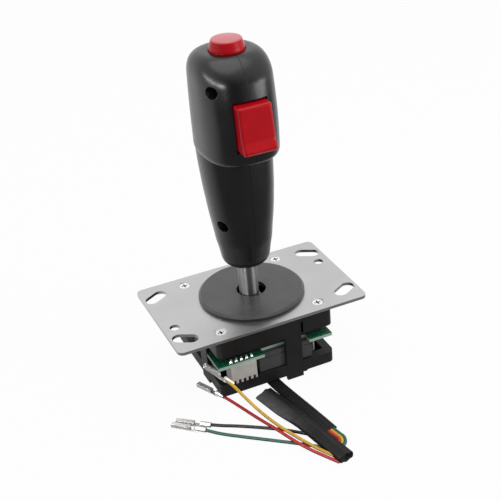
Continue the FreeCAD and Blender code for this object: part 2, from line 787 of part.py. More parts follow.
def gate():
    """The restrictor tray under the switches, with its square opening and pegs."""
    body = square_block("gate_blank", "housing_width / 2", "gate_corner", GATE_BOTTOM, GATE_TOP)
    tray = sketch(body, "XY_Plane", GATE_TOP)
    rectangle(tray, f"{GATE_HALF} - gate_rim", f"{GATE_HALF} - gate_rim")
    rectangle(tray, "gate_opening / 2 + gate_collar", "gate_opening / 2 + gate_collar")
    pocket(body, tray, "gate_height - gate_floor")
    for index in QUARTERS:
        place = around("peg_offset", f"-({GATE_HALF} - peg_inset)", index)
        pad(body, circle(sketch(body, "XY_Plane", "peg_clearance"), *place, "peg_radius"),
            f"{GATE_BOTTOM} + gate_floor - peg_clearance")
    hole = square_block("gate_opening_tool", "gate_opening / 2", "gate_opening_corner", "0", "base_depth")
    room = "clip_width / 2 + clip_clearance"
    notches = [turned_box(box(f"gate_notch_{index}", (f"clip_offset - ({room})", f"clip_offset + {room}"),
                              ("-100", f"-{GATE_HALF}"), ("0", FAR)), index) for index in QUARTERS]
    node("gate", cut("gate", body, hole, *notches))


def dust_washer():
    """The loose bevelled disc that lies on the plate round the shaft."""
    body = turned("dust_washer", [
        ("washer_bore / 2", "base_depth"),
        ("washer_diameter / 2", "base_depth"),
        ("washer_diameter / 2", "base_depth + washer_thickness - washer_bevel"),
        ("washer_diameter / 2 - washer_bevel", "base_depth + washer_thickness"),
        ("washer_bore / 2", "base_depth + washer_thickness"),
    ])
    bind(body, {"Placement.Base.x": "washer_shift"})
    node("dust_washer", body)


def shaft():
    """The hollow steel shaft, with a clip groove below and flats at its top."""
    body = turned("shaft_turned", [
        ("wire_bore", "shaft_end"),
        ("neck_radius", "shaft_end"),
        ("neck_radius", RING_LOW),
        ("ring_groove", RING_LOW),
        ("ring_groove", RING_HIGH),
        ("neck_radius", RING_HIGH),
        ("neck_radius", "neck_top"),
        ("shaft_radius", "neck_top"),
        ("shaft_radius", CLAMP_LOW),
        ("neck_radius", CLAMP_LOW),
        ("neck_radius", f"{CLAMP_HIGH} + shaft_top"),
        ("wire_bore", f"{CLAMP_HIGH} + shaft_top"),
    ])
    flats = [box(f"shaft_flat_{k}", ("-20", "20"), span, (CLAMP_LOW, FAR))
             for k, span in enumerate((("-20", "-shaft_flat"), ("shaft_flat", "20")))]
    node("shaft", cut("shaft", body, *flats))


def shaft_fittings():
    """The pivot ball, the actuator, its clip ring and the grip's clamp nut."""
    node("pivot_ball", cut("pivot_ball", ball("ball_blank", "ball_radius"),
                           cylinder("ball_bore", "shaft_radius + press_gap", "z", ("0", "0"), "0", FAR)))
    band_low = f"({SWITCH_MIDDLE} - actuator_band / 2)"
    node("actuator", turned("actuator", [
        ("neck_radius + press_gap", RING_HIGH),
        ("follower_radius", RING_HIGH),
        ("follower_radius", f"{band_low} - actuator_cone"),
        ("actuator_radius", band_low),
        ("actuator_radius", f"{band_low} + actuator_band"),
        ("flange_radius", FLANGE_TOP),
        ("hub_radius", FLANGE_TOP),
        ("hub_radius", f"{FLANGE_TOP} + hub_height"),
        ("neck_radius + press_gap", f"{FLANGE_TOP} + hub_height"),
    ]))
    ring = cylinder("ring_blank", "ring_radius", "z", ("0", "0"), RING_LOW, RING_HIGH)
    ring_tools = [
        cylinder("ring_bore", "ring_groove + press_gap", "z", ("0", "0"), "0", FAR),
        box("ring_mouth", ("0", "20"), ("-ring_groove / 2", "ring_groove / 2"), ("0", FAR)),
    ]
    node("retaining_ring", cut("retaining_ring", ring, *ring_tools))
    prism = doc.addObject("Part::Prism", "nut_blank")
    prism.Polygon = 6
    bind(prism, {"Circumradius": "nut_across / 2 / cos(30)", "Height": "nut_height",
                 "Placement.Base.z": CLAMP_HIGH})
    node("shaft_nut", cut("shaft_nut", prism, cylinder("nut_bore", "neck_radius + press_gap", "z",
                                                       ("0", "0"), "0", FAR)))


def centering_spring():
    """The coil spring between the socket and the actuator's flange."""
    wire = size("spring_wire") / 2
    switch_top = size("gate_lift") + size("gate_height") + size("switch_thickness")
    low = switch_top - size("switch_thickness") / 2 + size("actuator_band") / 2 + size("actuator_flange")
    high = switch_top + size("board_thickness") + size("spring_recess")
    gap = size("running_gap")
    rise = high - low - 2 * (wire + gap)
    helix = Part.makeHelix(rise / size("spring_turns"), rise, size("spring_radius"))
    start = helix.Edges[0].Vertexes[0].Point
    section = Part.Wire(Part.Circle(start, Vector(0, 1, 0), wire).toShape())
    item = doc.addObject("Part::Feature", "centering_spring")
    item.Shape = Part.Wire(helix.Edges).makePipeShell([section], True, True)
    item.Placement = Placement(Vector(0, 0, low + wire + gap), Rotation())
    node("centering_spring", item)


def grip_level(name):
    """A height of the grip, from the table."""
    return size("base_depth") + size(name)


RING_POINTS = 32


def ring(half_x, front, back, y, z, power):
    """A smooth closed curve |x / half_x|^n + |y / depth|^n = 1 at one height."""
    points = []
    for k in range(RING_POINTS):
        turn = 2 * math.pi * k / RING_POINTS
        across, behind = math.sin(turn), math.cos(turn)
        depth = back if behind > 0 else front
        reach = (abs(across / half_x) ** power + abs(behind / depth) ** power) ** (-1 / power)
        points.append(Vector(reach * across, y + reach * behind, z))
    curve = Part.BSplineCurve()
    curve.interpolate(Points=points, PeriodicFlag=True, Parameters=list(range(RING_POINTS + 1)))
    return Part.Wire(curve.toShape())


def loft(name, rings):
    """A smooth solid through closed curves."""
    item = doc.addObject("Part::Feature", name)
    item.Shape = Part.makeLoft(rings, True)
    return item


FOOT_ANGLES = (0, 18, 36, 54, 72, 90)
HANDLE_STEPS = 9
EDGE_ANGLES = (0, 30, 60)
SIDE_STEPS = 12
SHOULDER_ANGLES = (0, 15, 30, 45, 60, 75, 90)


def handle_loft(name, inset, low, high):
    """The handle: a parabola that widens and leans back upwards, less a rounded foot."""
    foot = size("foot_radius") - inset
    top = size("handle_radius") - inset
    corner = size("foot_round") - inset / 2
    levels = []
    for angle in map(math.radians, FOOT_ANGLES):
        levels.append((corner * (1 - math.cos(angle)), corner * (1 - math.sin(angle))))
    for step in range(1, HANDLE_STEPS + 1):
        levels.append((corner + (high - low - corner) * step / HANDLE_STEPS, 0))
    rings = []
    for rise, loss in levels:
        share = rise / (high - low)
        radius = top - (top - foot) * (1 - share) ** 2 - loss
        depth = radius - size("handle_flat") * share ** 2
        rings.append(ring(radius, depth, depth, size("handle_lean") * share ** 2, low + rise,
                          2 + size("handle_square") * share))
    return loft(name, rings)


def head_loft(name, inset, low, crown, top):
    """The head: a rounded lower edge, bowed sides, and a shoulder that is squarer behind."""
    shoulder = grip_level("head_rise") - size("shoulder_height")
    edge = low + size("head_round")
    square = size("head_square")

    def reaches(height):
        part = ((height - grip_level("bulge_rise")) / (shoulder - grip_level("bulge_rise"))) ** 2
        return (size("head_half_width") - size("head_bulge") * part - inset,
                size("head_front") - size("front_bow") * part - inset,
                size("head_back") - size("head_bulge") * part - inset)

    rings = []
    for angle in map(math.radians, EDGE_ANGLES):
        loss = size("head_round") * (1 - math.sin(angle))
        height = low + size("head_round") * (1 - math.cos(angle))
        rings.append(ring(*(reach - loss for reach in reaches(edge)), 0, height, 2 + square))
    for step in range(SIDE_STEPS):
        height = edge + (shoulder - edge) * step / SIDE_STEPS
        rings.append(ring(*reaches(height), 0, height, 2 + square))
    for angle in map(math.radians, SHOULDER_ANGLES):
        rise = math.sin(angle)
        spans = []
        for reach, kind in zip(reaches(shoulder), ("side_shoulder", "front_shoulder", "back_shoulder")):
            spans.append(crown + (reach - crown) * max(0, 1 - rise ** size(kind)) ** (1 / size(kind)))
        rings.append(ring(*spans, 0, shoulder + (top - shoulder) * rise, 2 + square * math.cos(angle)))
    return loft(name, rings)


def switch_posts():
    """Where posts of the shells carry the two small switches, as (y, z)."""
    trigger_y = "-(%s - trigger_hole_front)" % TRIGGER_CASE
    trigger = [(trigger_y, f"{TRIGGER_SWITCH_LOW} + {hole}") for hole in ("trigger_hole_low", "trigger_hole_high")]
    top_z = f"{TOP_CASE} - top_hole_drop"
    return trigger + [("-top_hole_front", top_z), ("top_hole_back", top_z)]


def screw_places():
    """The grip screws' places, as (y, z)."""
    return [(f"-{name}_forward", f"base_depth + {name}_rise") for name in GRIP_SCREWS]


def grip_shells():
    """The two grip shells: one hollow form split at x = 0, with ribs, bosses and posts."""
    bottom, step, top = (grip_level(name) for name in ("grip_rise", "step_rise", "head_rise"))
    wall = size("grip_wall")
    join = step + 2 * size("head_round")
    outer = fuse("grip_outer", handle_loft("handle_outer", 0, bottom, join),
                 head_loft("head_outer", 0, step, size("crown_radius"), top))
    inner = fuse("grip_inner", handle_loft("handle_inner", wall, bottom + wall, join + wall),
                 head_loft("head_inner", wall, step + wall, size("crown_radius") + size("button_gap"),
                           top - size("crown_wall")))
    ribs = [
        box("grip_rib", ("-50", "50"), ("-50", "50"),
            ("base_depth + rib_rise", "base_depth + rib_rise + rib_thickness")),
        box("grip_clamp", ("-50", "50"), ("-50", "50"), (CLAMP_LOW, CLAMP_HIGH)),
    ]
    bosses = [cylinder(f"grip_boss_{k}", "grip_boss", "x", place, "-50", "50")
              for k, place in enumerate(screw_places())]
    cavity = cut("grip_cavity", inner, *ribs, *bosses)
    shell = cut("grip_shell", outer, cavity)
    bore = cylinder("grip_bore", "shaft_radius + press_gap", "z", ("0", "0"), "0", CLAMP_LOW)
    flat_bore = common(
        "grip_flat_bore",
        cylinder("grip_round_bore", "neck_radius + press_gap", "z", ("0", "0"), CLAMP_LOW, CLAMP_HIGH),
        box("grip_flat_span", ("-20", "20"), ("-shaft_flat - press_gap", "shaft_flat + press_gap"), ("0", FAR)))
    button_hole = cylinder("button_hole", "button_radius + button_gap", "z", ("0", "0"),
                           f"{HEAD_TOP} - crown_wall - 1", FAR)
    half_window = "(trigger_width / 2 + trigger_gap)"
    window = box("trigger_window", (f"-{half_window}", half_window), ("-50", f"-{TRIGGER_CASE}"),
                 (f"{TRIGGER_LOW} - window_room", f"{TRIGGER_HIGH} + window_room"))
    pin_hole = cylinder("trigger_pin_hole", "trigger_pin_radius + press_gap", "x",
                        ("-trigger_pivot_y", TRIGGER_PIVOT), "-trigger_pin_length / 2", "trigger_pin_length / 2")
    shared = [bore, flat_bore, button_hole, window, pin_hole]
    grip_half("grip_left_shell", -1, shell, outer, shared)
    grip_half("grip_right_shell", 1, shell, outer, shared)


def grip_half(name, side, shell, outer, shared):
    """One shell: its half of the form, the screw holes and the switch posts on it."""
    seam = "seam_gap / 2"
    span = ("-100", f"-{seam}") if side < 0 else (seam, "100")
    half = common(f"{name}_half", shell, box(f"{name}_space", span, ("-100", "100"), ("0", FAR)))
    rest = "small_switch_width / 2 + running_gap"
    posts = []
    for k, place in enumerate(switch_posts()):
        reach = ("-100", f"-({rest})") if side < 0 else (rest, "100")
        posts.append(cylinder(f"{name}_post_{k}", "post_radius", "x", place, *reach))
        if side < 0:
            posts.append(cylinder(f"{name}_post_pin_{k}", "post_pin_radius", "x", place, f"-({rest}) - 1", rest))
    carried = common(f"{name}_posts", outer, fuse(f"{name}_post_set", *posts))
    holes = []
    for k, place in enumerate(screw_places()):
        end = "grip_screw_length - grip_recess_floor + running_gap"
        holes.append(cylinder(f"{name}_hole_{k}", "grip_screw_shank / 2 + press_gap", "x", place, "-100", end))
        if side < 0:
            holes.append(cylinder(f"{name}_recess_{k}", "grip_recess / 2", "x", place, "-100", "-grip_recess_floor"))
    node(name, cut(name, fuse(f"{name}_full", half, carried), *shared, *holes))


def grip_screws():
    """Four screws that join the shells, their heads deep in the left shell."""
    screws = []
    for k, place in enumerate(screw_places()):
        floor = "-grip_recess_floor"
        head = cylinder(f"grip_screw_head_{k}", "grip_screw_head / 2", "x", place,
                        f"{floor} - grip_head_height", floor)
        shank = cylinder(f"grip_screw_shank_{k}", "grip_screw_shank / 2", "x", place, floor,
                         f"{floor} + grip_screw_length")
        screws.append(fuse(f"grip_screw_{k}", head, shank))
    node("grip_screws", group("grip_screws", *screws))


def top_button():
    """The red button: a tapered crowned cap over a flange and a stem."""
    top = "(base_depth + button_rise)"
    body = turned("top_button", [
        ("0", BUTTON_STEM_LOW),
        ("button_stem_radius", BUTTON_STEM_LOW),
        ("button_stem_radius", BUTTON_FLANGE_LOW),
        ("button_radius + button_flange", BUTTON_FLANGE_LOW),
        ("button_radius + button_flange", BUTTON_FLANGE_TOP),
        ("button_radius", BUTTON_FLANGE_TOP),
        ("button_radius", f"{top} - button_crown - button_taper"),
        ("button_top_radius", f"{top} - button_crown"),
        ("0", top),
    ])
    rim = size("base_depth") + size("button_rise") - size("button_crown")
    round_edges(body, "button_round", lambda edge: abs(edge.BoundBox.ZMin - rim) < 1e-6
                and edge.BoundBox.ZLength < 1e-6)
    node("top_button", body)


def trigger():
    """The red trigger: a wedge that thickens to a creased lip, hung on a pin."""
    body = new_body("trigger_blank")
    profile = outline(sketch(body, "YZ_Plane", "-trigger_width / 2"), [
        ("-trigger_back", TRIGGER_LOW),
        ("-trigger_sole_front", TRIGGER_LOW),
        ("-trigger_lip_front", f"{TRIGGER_LOW} + trigger_lip_rise"),
        ("-trigger_crease_front", f"{TRIGGER_LOW} + trigger_crease_rise"),
        ("-trigger_top_front", TRIGGER_HIGH),
        ("-trigger_back", TRIGGER_HIGH),
    ])
    pad(body, profile, "trigger_width")
    front = -size("trigger_top_front") + 0.5
    crease = size("base_depth") + size("trigger_low") + size("trigger_crease_rise")

    def is_front_edge(edge):
        return edge.BoundBox.XLength > 1 and edge.BoundBox.Center.y < front

    def is_crease(edge):
        return is_front_edge(edge) and abs(edge.BoundBox.Center.z - crease) < 0.01

    def is_side_edge(edge):
        return edge.BoundBox.XLength < 1e-6 and edge.BoundBox.YMin < -size("trigger_back") - 0.5
    round_edges(body, "trigger_round", lambda edge: is_front_edge(edge) and not is_crease(edge))
    round_edges(body, "trigger_crease_round", is_crease)
    round_edges(body, "trigger_side_round", is_side_edge)
    hole = cylinder("trigger_bore", "trigger_pin_radius + running_gap", "x",
                    ("-trigger_pivot_y", TRIGGER_PIVOT), "-50", "50")
    node("trigger", cut("trigger", body, hole))
    node("trigger_pin", cylinder("trigger_pin", "trigger_pin_radius", "x", ("-trigger_pivot_y", TRIGGER_PIVOT),
                                 "-trigger_pin_length / 2", "trigger_pin_length / 2"))


def small_switches():
    """The two small microswitches in the head, and their plungers."""
    across = ("-small_switch_width / 2", "small_switch_width / 2")
    side = "small_plunger_side / 2"
    room = f"({side} + slide_gap)"
    depth = "(small_plunger_length - small_plunger + plunger_room + small_plunger)"
    posts = [cylinder(f"small_hole_{k}", "post_pin_radius + running_gap", "x", place, "-50", "50")
             for k, place in enumerate(switch_posts())]

    top = box("top_switch_case", across, ("top_switch_back - small_switch_length", "top_switch_back"),
              (f"{TOP_CASE} - small_switch_depth", TOP_CASE))
    top_slot = box("top_switch_slot", (f"-{room}", room), (f"-{room}", room), (f"{TOP_CASE} - {depth}", FAR))
    node("top_switch", cut("top_switch", top, top_slot, *posts[2:]))
    node("top_plunger", box("top_plunger", (f"-{side}", side), (f"-{side}", side),
                            (f"{TOP_CASE} + small_plunger - small_plunger_length", f"{TOP_CASE} + small_plunger")))

    face = f"-{TRIGGER_CASE}"
    height = "(base_depth + trigger_plunger_rise)"
    case = box("trigger_switch_case", across, (face, f"{face} + small_switch_depth"),
               (TRIGGER_SWITCH_LOW, f"{TRIGGER_SWITCH_LOW} + small_switch_length"))
    slot = box("trigger_switch_slot", (f"-{room}", room), ("-50", f"{face} + {depth}"),
               (f"{height} - {room}", f"{height} + {room}"))
    node("trigger_switch", cut("trigger_switch", case, slot, *posts[:2]))
    node("trigger_plunger", box("trigger_plunger", (f"-{side}", side),
                                (f"{face} - small_plunger", f"{face} - small_plunger + small_plunger_length"),
                                (f"{height} - {side}", f"{height} + {side}")))


def rounded_path(name, points):
    """A wire of straight runs joined by tangent arcs as large as the runs allow."""
    places = [Vector(*point) for point in points]
    edges = []
    radii = []
    start = places[0]
    for before, corner, after in zip(places, places[1:], places[2:]):
        back = (before - corner).normalize()
        ahead = (after - corner).normalize()
        turn = math.pi - back.getAngle(ahead)
        reach = 0.45 * min((before - corner).Length, (after - corner).Length)
        radius = reach / math.tan(turn / 2)
        enter = corner + back * reach
        leave = corner + ahead * reach
        middle = (back + ahead).normalize() * (radius / math.cos(turn / 2) - radius)
        edges.append(Part.LineSegment(start, enter).toShape())
        edges.append(Part.Arc(enter, corner + middle, leave).toShape())
        radii.append(radius)
        start = leave
    edges.append(Part.LineSegment(start, places[-1]).toShape())
    print(name, "arc radii:", " ".join(f"{radius:.1f}" for radius in radii))
    return Part.Wire(edges)


def check_volume(name, shape, area, path):
    """Stops if a swept solid's volume isn't its section times its length."""
    wanted = area * path.Length
    if abs(shape.Volume - wanted) > 0.03 * wanted:
        raise RuntimeError(f"{name} has volume {shape.Volume:.1f}, not {wanted:.1f}")


def wire(colour):
    """One round wire along its route."""
    name = f"wire_{colour}"
    path = rounded_path(name, ROUTES[name])
    radius = size("wire_diameter") / 2
    start = Vector(*ROUTES[name][0])
    heading = Vector(*ROUTES[name][1]) - start
    ring = Part.Wire(Part.Circle(start, heading, radius).toShape())
    item = doc.addObject("Part::Feature", name)
    item.Shape = path.makePipeShell([ring], True, False)
    check_volume(name, item.Shape, math.pi * radius ** 2, path)
    item.Placement = Placement()
    node(name, item)


def band(name, width, thickness):
    """A flat band along a level route."""
    points = ROUTES[name]
    path = rounded_path(name, points)
    start = Vector(*points[0])
    heading = (Vector(*points[1]) - start).normalize()
    across = heading.cross(Vector(0, 0, 1)) * (width / 2)
    up = Vector(0, 0, thickness / 2)
    corners = [start + across + up, start - across + up, start - across - up, start + across - up]
    ring = Part.makePolygon(corners + corners[:1])
    shape = path.makePipeShell([ring], True, False)
    check_volume(name, shape, width * thickness, path)
    return shape


def lead():
    """The sleeved lead from the shaft's end, its bare bend and the folded hank."""
    sleeve = band("lead_sleeve", size("sleeve_width"), size("sleeve_thickness"))
    stub_low = size("sleeve_height")
    stub = Part.makeCylinder(size("wire_bore"), size("shaft_end") - 0.8 - stub_low, Vector(0, 0, stub_low))
    shapes = {
        "lead_sleeve": sleeve.fuse(stub).removeSplitter(),
        "lead_bend": band("lead_bend", size("bend_width"), size("wire_diameter")),
        "lead_hank": band("lead_hank", size("hank_width"), size("hank_thickness")),
    }
    for name, shape in shapes.items():
        item = doc.addObject("Part::Feature", name)
        item.Shape = shape.Solids[0]
        item.Placement = Placement()
        node(name, item)


def terminal(colour):
    """A crimp terminal: a barrel on the wire, a neck and a hollow box contact."""
    name = f"terminal_{colour}"
    barrel = cut(f"{name}_barrel",
                 cylinder(f"{name}_tube", "crimp_radius", "x", ("0", "0"), "-crimp_length", "0"),
                 cylinder(f"{name}_bore", "wire_diameter / 2 + running_gap", "x", ("0", "0"), "-50", "-press_gap"))
    neck = box(f"{name}_neck", ("-crimp_radius", "terminal_neck"), ("-crimp_radius", "crimp_radius"),
               ("-crimp_radius", "-crimp_radius + contact_wall"))
    span = ("terminal_neck", "terminal_neck + contact_length")
    shell = box(f"{name}_shell", span, ("-contact_width / 2", "contact_width / 2"),
                ("-crimp_radius", "-crimp_radius + contact_height"))
    room = box(f"{name}_room", ("terminal_neck - 1", "terminal_neck + contact_length + 1"),
               ("-contact_width / 2 + contact_wall", "contact_width / 2 - contact_wall"),
               ("-crimp_radius + contact_wall", "-crimp_radius + contact_height - contact_wall"))
    item = fuse(name, barrel, neck, cut(f"{name}_contact", shell, room))
    end = Vector(*ROUTES[f"wire_{colour}"][-1])
    aim = (Vector(*TERMINAL_AIMS[colour]) - end).normalize()
    side = Vector(0, 0, 1).cross(aim).normalize()
    item.Placement = Placement(end, Rotation(aim, side, aim.cross(side), "XYZ"))
    node(name, item)


def build():
    """Makes every sub-part."""
    mounting_plate()
    plate_screws()
    base_housing()
    switch_board()
    header_shell()
    header_pins()
    for index in QUARTERS:
        base_switch(index)
        base_plunger(index)
    switch_terminals()
    gate()
    dust_washer()
    shaft()
    shaft_fittings()
    centering_spring()
    grip_shells()
    grip_screws()
    top_button()
    trigger()
    small_switches()
    lead()
    for colour in TERMINAL_AIMS:
        wire(colour)
        terminal(colour)
    doc.recompute()


def check_and_write():
    """Checks every object, then writes each sub-part to its own file."""
    for item in doc.Objects:
        if {"Invalid", "Error"} & set(item.State):
            raise RuntimeError(f"{item.Label} failed: {item.State}")
    for item in NODES:
        if item.Shape.isNull() or not item.Shape.isValid() or not item.Shape.Solids:
            raise RuntimeError(f"{item.Label} has no valid solid")
    os.makedirs("parts", exist_ok=True)
    for item in NODES:
        item.Shape.exportStep(f"parts/{item.Label}.step")
        print(item.Label, len(item.Shape.Solids), round(item.Shape.Volume, 2))


build()
check_and_write()
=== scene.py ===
"""Looks of a flight grip joystick on a microswitch base, dressed over its packed solids."""

import bpy
import numpy as np
from bpy.props import FloatProperty, FloatVectorProperty, PointerProperty
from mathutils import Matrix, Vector


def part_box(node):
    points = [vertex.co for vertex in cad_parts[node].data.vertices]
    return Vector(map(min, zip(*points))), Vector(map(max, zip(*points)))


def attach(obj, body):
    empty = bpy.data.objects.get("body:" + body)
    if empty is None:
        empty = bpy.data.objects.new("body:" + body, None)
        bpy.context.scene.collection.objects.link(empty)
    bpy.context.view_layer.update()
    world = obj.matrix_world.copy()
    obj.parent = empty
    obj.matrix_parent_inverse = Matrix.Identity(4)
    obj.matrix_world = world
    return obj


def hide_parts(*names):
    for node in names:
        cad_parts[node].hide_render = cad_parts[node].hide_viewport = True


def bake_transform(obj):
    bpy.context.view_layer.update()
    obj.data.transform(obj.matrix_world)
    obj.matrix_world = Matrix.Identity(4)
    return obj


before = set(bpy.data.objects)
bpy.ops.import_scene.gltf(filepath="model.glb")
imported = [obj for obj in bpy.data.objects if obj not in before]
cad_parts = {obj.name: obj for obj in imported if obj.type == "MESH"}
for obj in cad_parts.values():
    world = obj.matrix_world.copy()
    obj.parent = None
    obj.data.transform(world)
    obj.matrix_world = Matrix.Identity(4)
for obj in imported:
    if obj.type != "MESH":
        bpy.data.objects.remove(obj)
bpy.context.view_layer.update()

bl_info = {
    "name": "Flight Stick",
    "version": (1, 0, 0),
    "blender": (4, 5, 0),
    "location": "View3D > Sidebar > Flight Stick",
    "description": "Dresses the solids of a flight stick with finishes, wires and solder",
    "category": "Object",
}

UPWARD = np.array((0, 0, 1.0))
WHITE = (1, 1, 1, 1)

# Lamps turn to this point. Each one has its place, its width and height in metres, its power
# setting, whether it shows in gloss only, and the pieces that it is kept off.
LAMP_AIM = (0, 0, 0.1)
FLAGGED = ("mounting_plate", "dust_washer", "trigger", "top_button")
LAMPS = {
    "left_lamp": ((-0.66, -0.18, 0.33), (1.0, 0.1), "left_power", True, FLAGGED),
    "near_lamp": ((-0.5, -0.48, 0.3), (0.24, 0.08), "near_power", True, FLAGGED),
    "right_lamp": ((0.45, -0.45, 0.16), (0.42, 0.2), "right_power", False, FLAGGED[:2]),
    "top_lamp": ((0.0, 0.0, 1.05), (1.0, 1.0), "top_power", False, ()),
}
LENS_SIDE = (-0.36, -0.93, 0.0)  # Level direction from the object to the lens.
FLOOR_HALF = 0.9
FLOOR_GLOW = 0.95  # Share of plain white in the floor that the camera sees.

# Fades of marks that change with height, in metres: the painted sheen on the button's top and the
# painted shade in the screws' recess.
TOP_SHEEN_FADE = 0.0007
RECESS_SHADE_FADE = 0.0003
# Colour of the painted shade in the screws' recess.
RECESS_PAINTED_SHADE = (0.02, 0.02, 0.02, 1.0)
# Along the hank, in metres: where the smoky film starts, and where it is full.
FLAP_STARTS, FLAP_FULL = 0.02, 0.042

SPRING_SPLIT = 0.485  # Share of the spring's height in its lower length.
SPRING_STEPS = 161
SPRING_SIDES = 16
HEADER_PINS = 5

# Stub of the lead in the shaft's bore: radius and height pairs in metres.
ROOT_PROFILE = (
    (0, 0.001), (0.0021, 0.001), (0.0022, 0.0013), (0.0022, 0.0043), (0.0019, 0.0046),
    (0, 0.0046),
)

# Routes of the lead and its wires in metres, from where each one leaves the object.
SLEEVE_ROUTE = (
    (0, 0.0034, 0.0011), (-0.0026, -0.012, 0.0011), (-0.0032, -0.027, 0.0011),
    (-0.0003, -0.045, 0.0011), (0.00225, -0.059, 0.0011), (0.0045, -0.074, 0.0011),
)
BEND_ROUTE = (
    (0.0045, -0.074, 0.0011), (0.00504, -0.0776, 0.0011), (0.0062, -0.0812, 0.0011),
    (0.0044, -0.0848, 0.0011), (0.0006, -0.0864, 0.0011),
)
HANK_ROUTE = (
    (0.001, -0.095, 0.0025), (-0.0026, -0.076, 0.0025), (-0.0066, -0.055, 0.0025),
    (-0.0108, -0.0366, 0.0025),
)
WIRE_ROUTES = {
    "yellow": (
        (-0.0016, -0.0926, 0.0019), (-0.0058, -0.0864, 0.0021), (-0.0106, -0.076, 0.0027),
        (-0.0154, -0.0646, 0.0035), (-0.0194, -0.0536, 0.005), (-0.0232, -0.0438, 0.0088),
        (-0.027, -0.037, 0.014), (-0.0296, -0.035, 0.0172),
    ),
    "red": (
        (-0.0023, -0.0946, 0.0009), (-0.0062, -0.0886, 0.0014), (-0.0107, -0.0821, 0.0024),
        (-0.0149, -0.0717, 0.0027), (-0.0172, -0.0641, 0.0027), (-0.0214, -0.0514, 0.0021),
        (-0.0248, -0.0376, 0.0009), (-0.028, -0.0284, 0.001), (-0.0304, -0.023, 0.0013),
    ),
    "black": (
        (-0.0034, -0.0736, 0.0008), (-0.0082, -0.0685, 0.0008), (-0.014, -0.063, 0.0008),
        (-0.0201, -0.0582, 0.0008), (-0.0307, -0.0506, 0.0008), (-0.0395, -0.0456, 0.001),
        (-0.0457, -0.041, 0.00135),
    ),
    "green": (
        (-0.0014, -0.0846, 0.0008), (-0.007, -0.0796, 0.0008), (-0.0135, -0.0738, 0.0008),
        (-0.0196, -0.0688, 0.0008), (-0.0298, -0.0604, 0.0008), (-0.0401, -0.0518, 0.0008),
        (-0.0451, -0.0463, 0.0011), (-0.0488, -0.0429, 0.00135),
    ),
}


# Settings -------------------------------------------------------------------


def colour(name, about, value):
    """A colour property in linear values."""
    return FloatVectorProperty(
        name=name, description=about, default=value, subtype="COLOR", min=0, max=1
    )


def length(name, about, value):
    """A length property in metres."""
    return FloatProperty(
        name=name, description=about, default=value, unit="LENGTH", precision=5
    )


def number(name, about, value, unit="NONE"):
    """A number property, in its unit where it has one."""
    return FloatProperty(name=name, description=about, default=value, unit=unit)


class StudioSettings(bpy.types.PropertyGroup):
    """Camera, floor and lamps."""

    camera_place: FloatVectorProperty(
        name="Camera place", description="Where the lens stands", subtype="TRANSLATION",
        default=(-0.158706, -0.410456, 0.310636),
    )
    camera_turn: FloatVectorProperty(
        name="Camera turn", description="Turn of the camera about X, Y and Z", subtype="EULER",
        default=(1.049856, 0.077999, -0.418505),
    )
    lens: number("Lens", "Focal length in millimetres on a 36 mm sensor", 76.49)
    floor_tint: colour("Floor", "Colour of the floor", (0.93, 0.93, 0.93))
    flag_tint: colour(
        "Flag", "How the floor before the object shows in its gloss", (0.28, 0.28, 0.28)
    )
    sky: number("Sky", "Strength of the even light from all round", 0.52)
    left_power: number("Left lamp", "Power of the long strip at the left", 3.3, "POWER")
    near_power: number("Near lamp", "Power of the small strip beside the lens", 1.2, "POWER")
    right_power: number("Right lamp", "Power of the lamp at the right", 1.1, "POWER")
    top_power: number("Top lamp", "Power of the wide lamp overhead", 3.6, "POWER")


class LeadSettings(bpy.types.PropertyGroup):
    """Lead and wires."""

    wire: length("Wire", "Diameter of a wire with its insulation", 0.0015)
    sleeve_width: length("Sleeve width", "Width of the flat sleeve", 0.0064)
    sleeve_height: length("Sleeve height", "Thickness of the flat sleeve", 0.002)
    hank_width: length("Hank width", "Width of the folded part", 0.0074)
    hank_height: length("Hank height", "Thickness of the folded part", 0.0048)
    yellow: colour("Yellow", "Insulation of the yellow wire", (0.82, 0.47, 0.025))
    red: colour("Red", "Insulation of the red wire", (0.64, 0.012, 0.02))
    black: colour("Black", "Insulation of the black wire", (0.012, 0.011, 0.012))
    green: colour("Green", "Insulation of the green wire", (0.024, 0.15, 0.105))
    vinyl: colour("Vinyl", "Sleeve of the lead", (0.0045, 0.0045, 0.0047))


class GripSettings(bpy.types.PropertyGroup):
    """Grip, button and trigger."""

    black: colour("Grip", "Moulded black of the grip", (0.007, 0.007, 0.0072))
    red: colour("Red", "Button and trigger", (0.56, 0.003, 0.011))
    # The next two settings make a painted sheen: the button's top above a height is pale pink,
    # standing in for light off it.
    rubbed: colour("Rubbed red", "Top of the button, rubbed pale by thumbs", (0.74, 0.21, 0.23))
    top_sheen_above: length(
        "Rubbed above", "Height above the table from which the button is pale", 0.1645
    )
    seam: length("Seam", "Half width of the line between the halves", 0.0001)


class MetalSettings(bpy.types.PropertyGroup):
    """Plate, shaft and small metal."""

    plate: colour("Plate", "Satin coat of the mounting plate", (0.55, 0.55, 0.555))
    bright: colour("Bright", "Pins, rings, nut and spring", (0.66, 0.66, 0.65))
    shaft: colour("Shaft", "Polished shaft", (0.34, 0.34, 0.348))
    spring_wire: length("Spring wire", "Thickness of the centring spring's wire", 0.0009)
    spring_turns: number("Spring turns", "Turns of the centring spring", 4.0)
    screw: colour("Screw", "Plated screws of the plate", (0.92, 0.92, 0.91))
    # Below this height a screw carries painted shade in its recess.
    shade_below: length(
        "Recess below", "Height above the table below which a screw is dark", 0.0344
    )
    tin: colour("Tin", "Terminals and pins", (0.88, 0.87, 0.85))
    blackened: colour("Blackened", "Screws of the grip", (0.05, 0.05, 0.05))


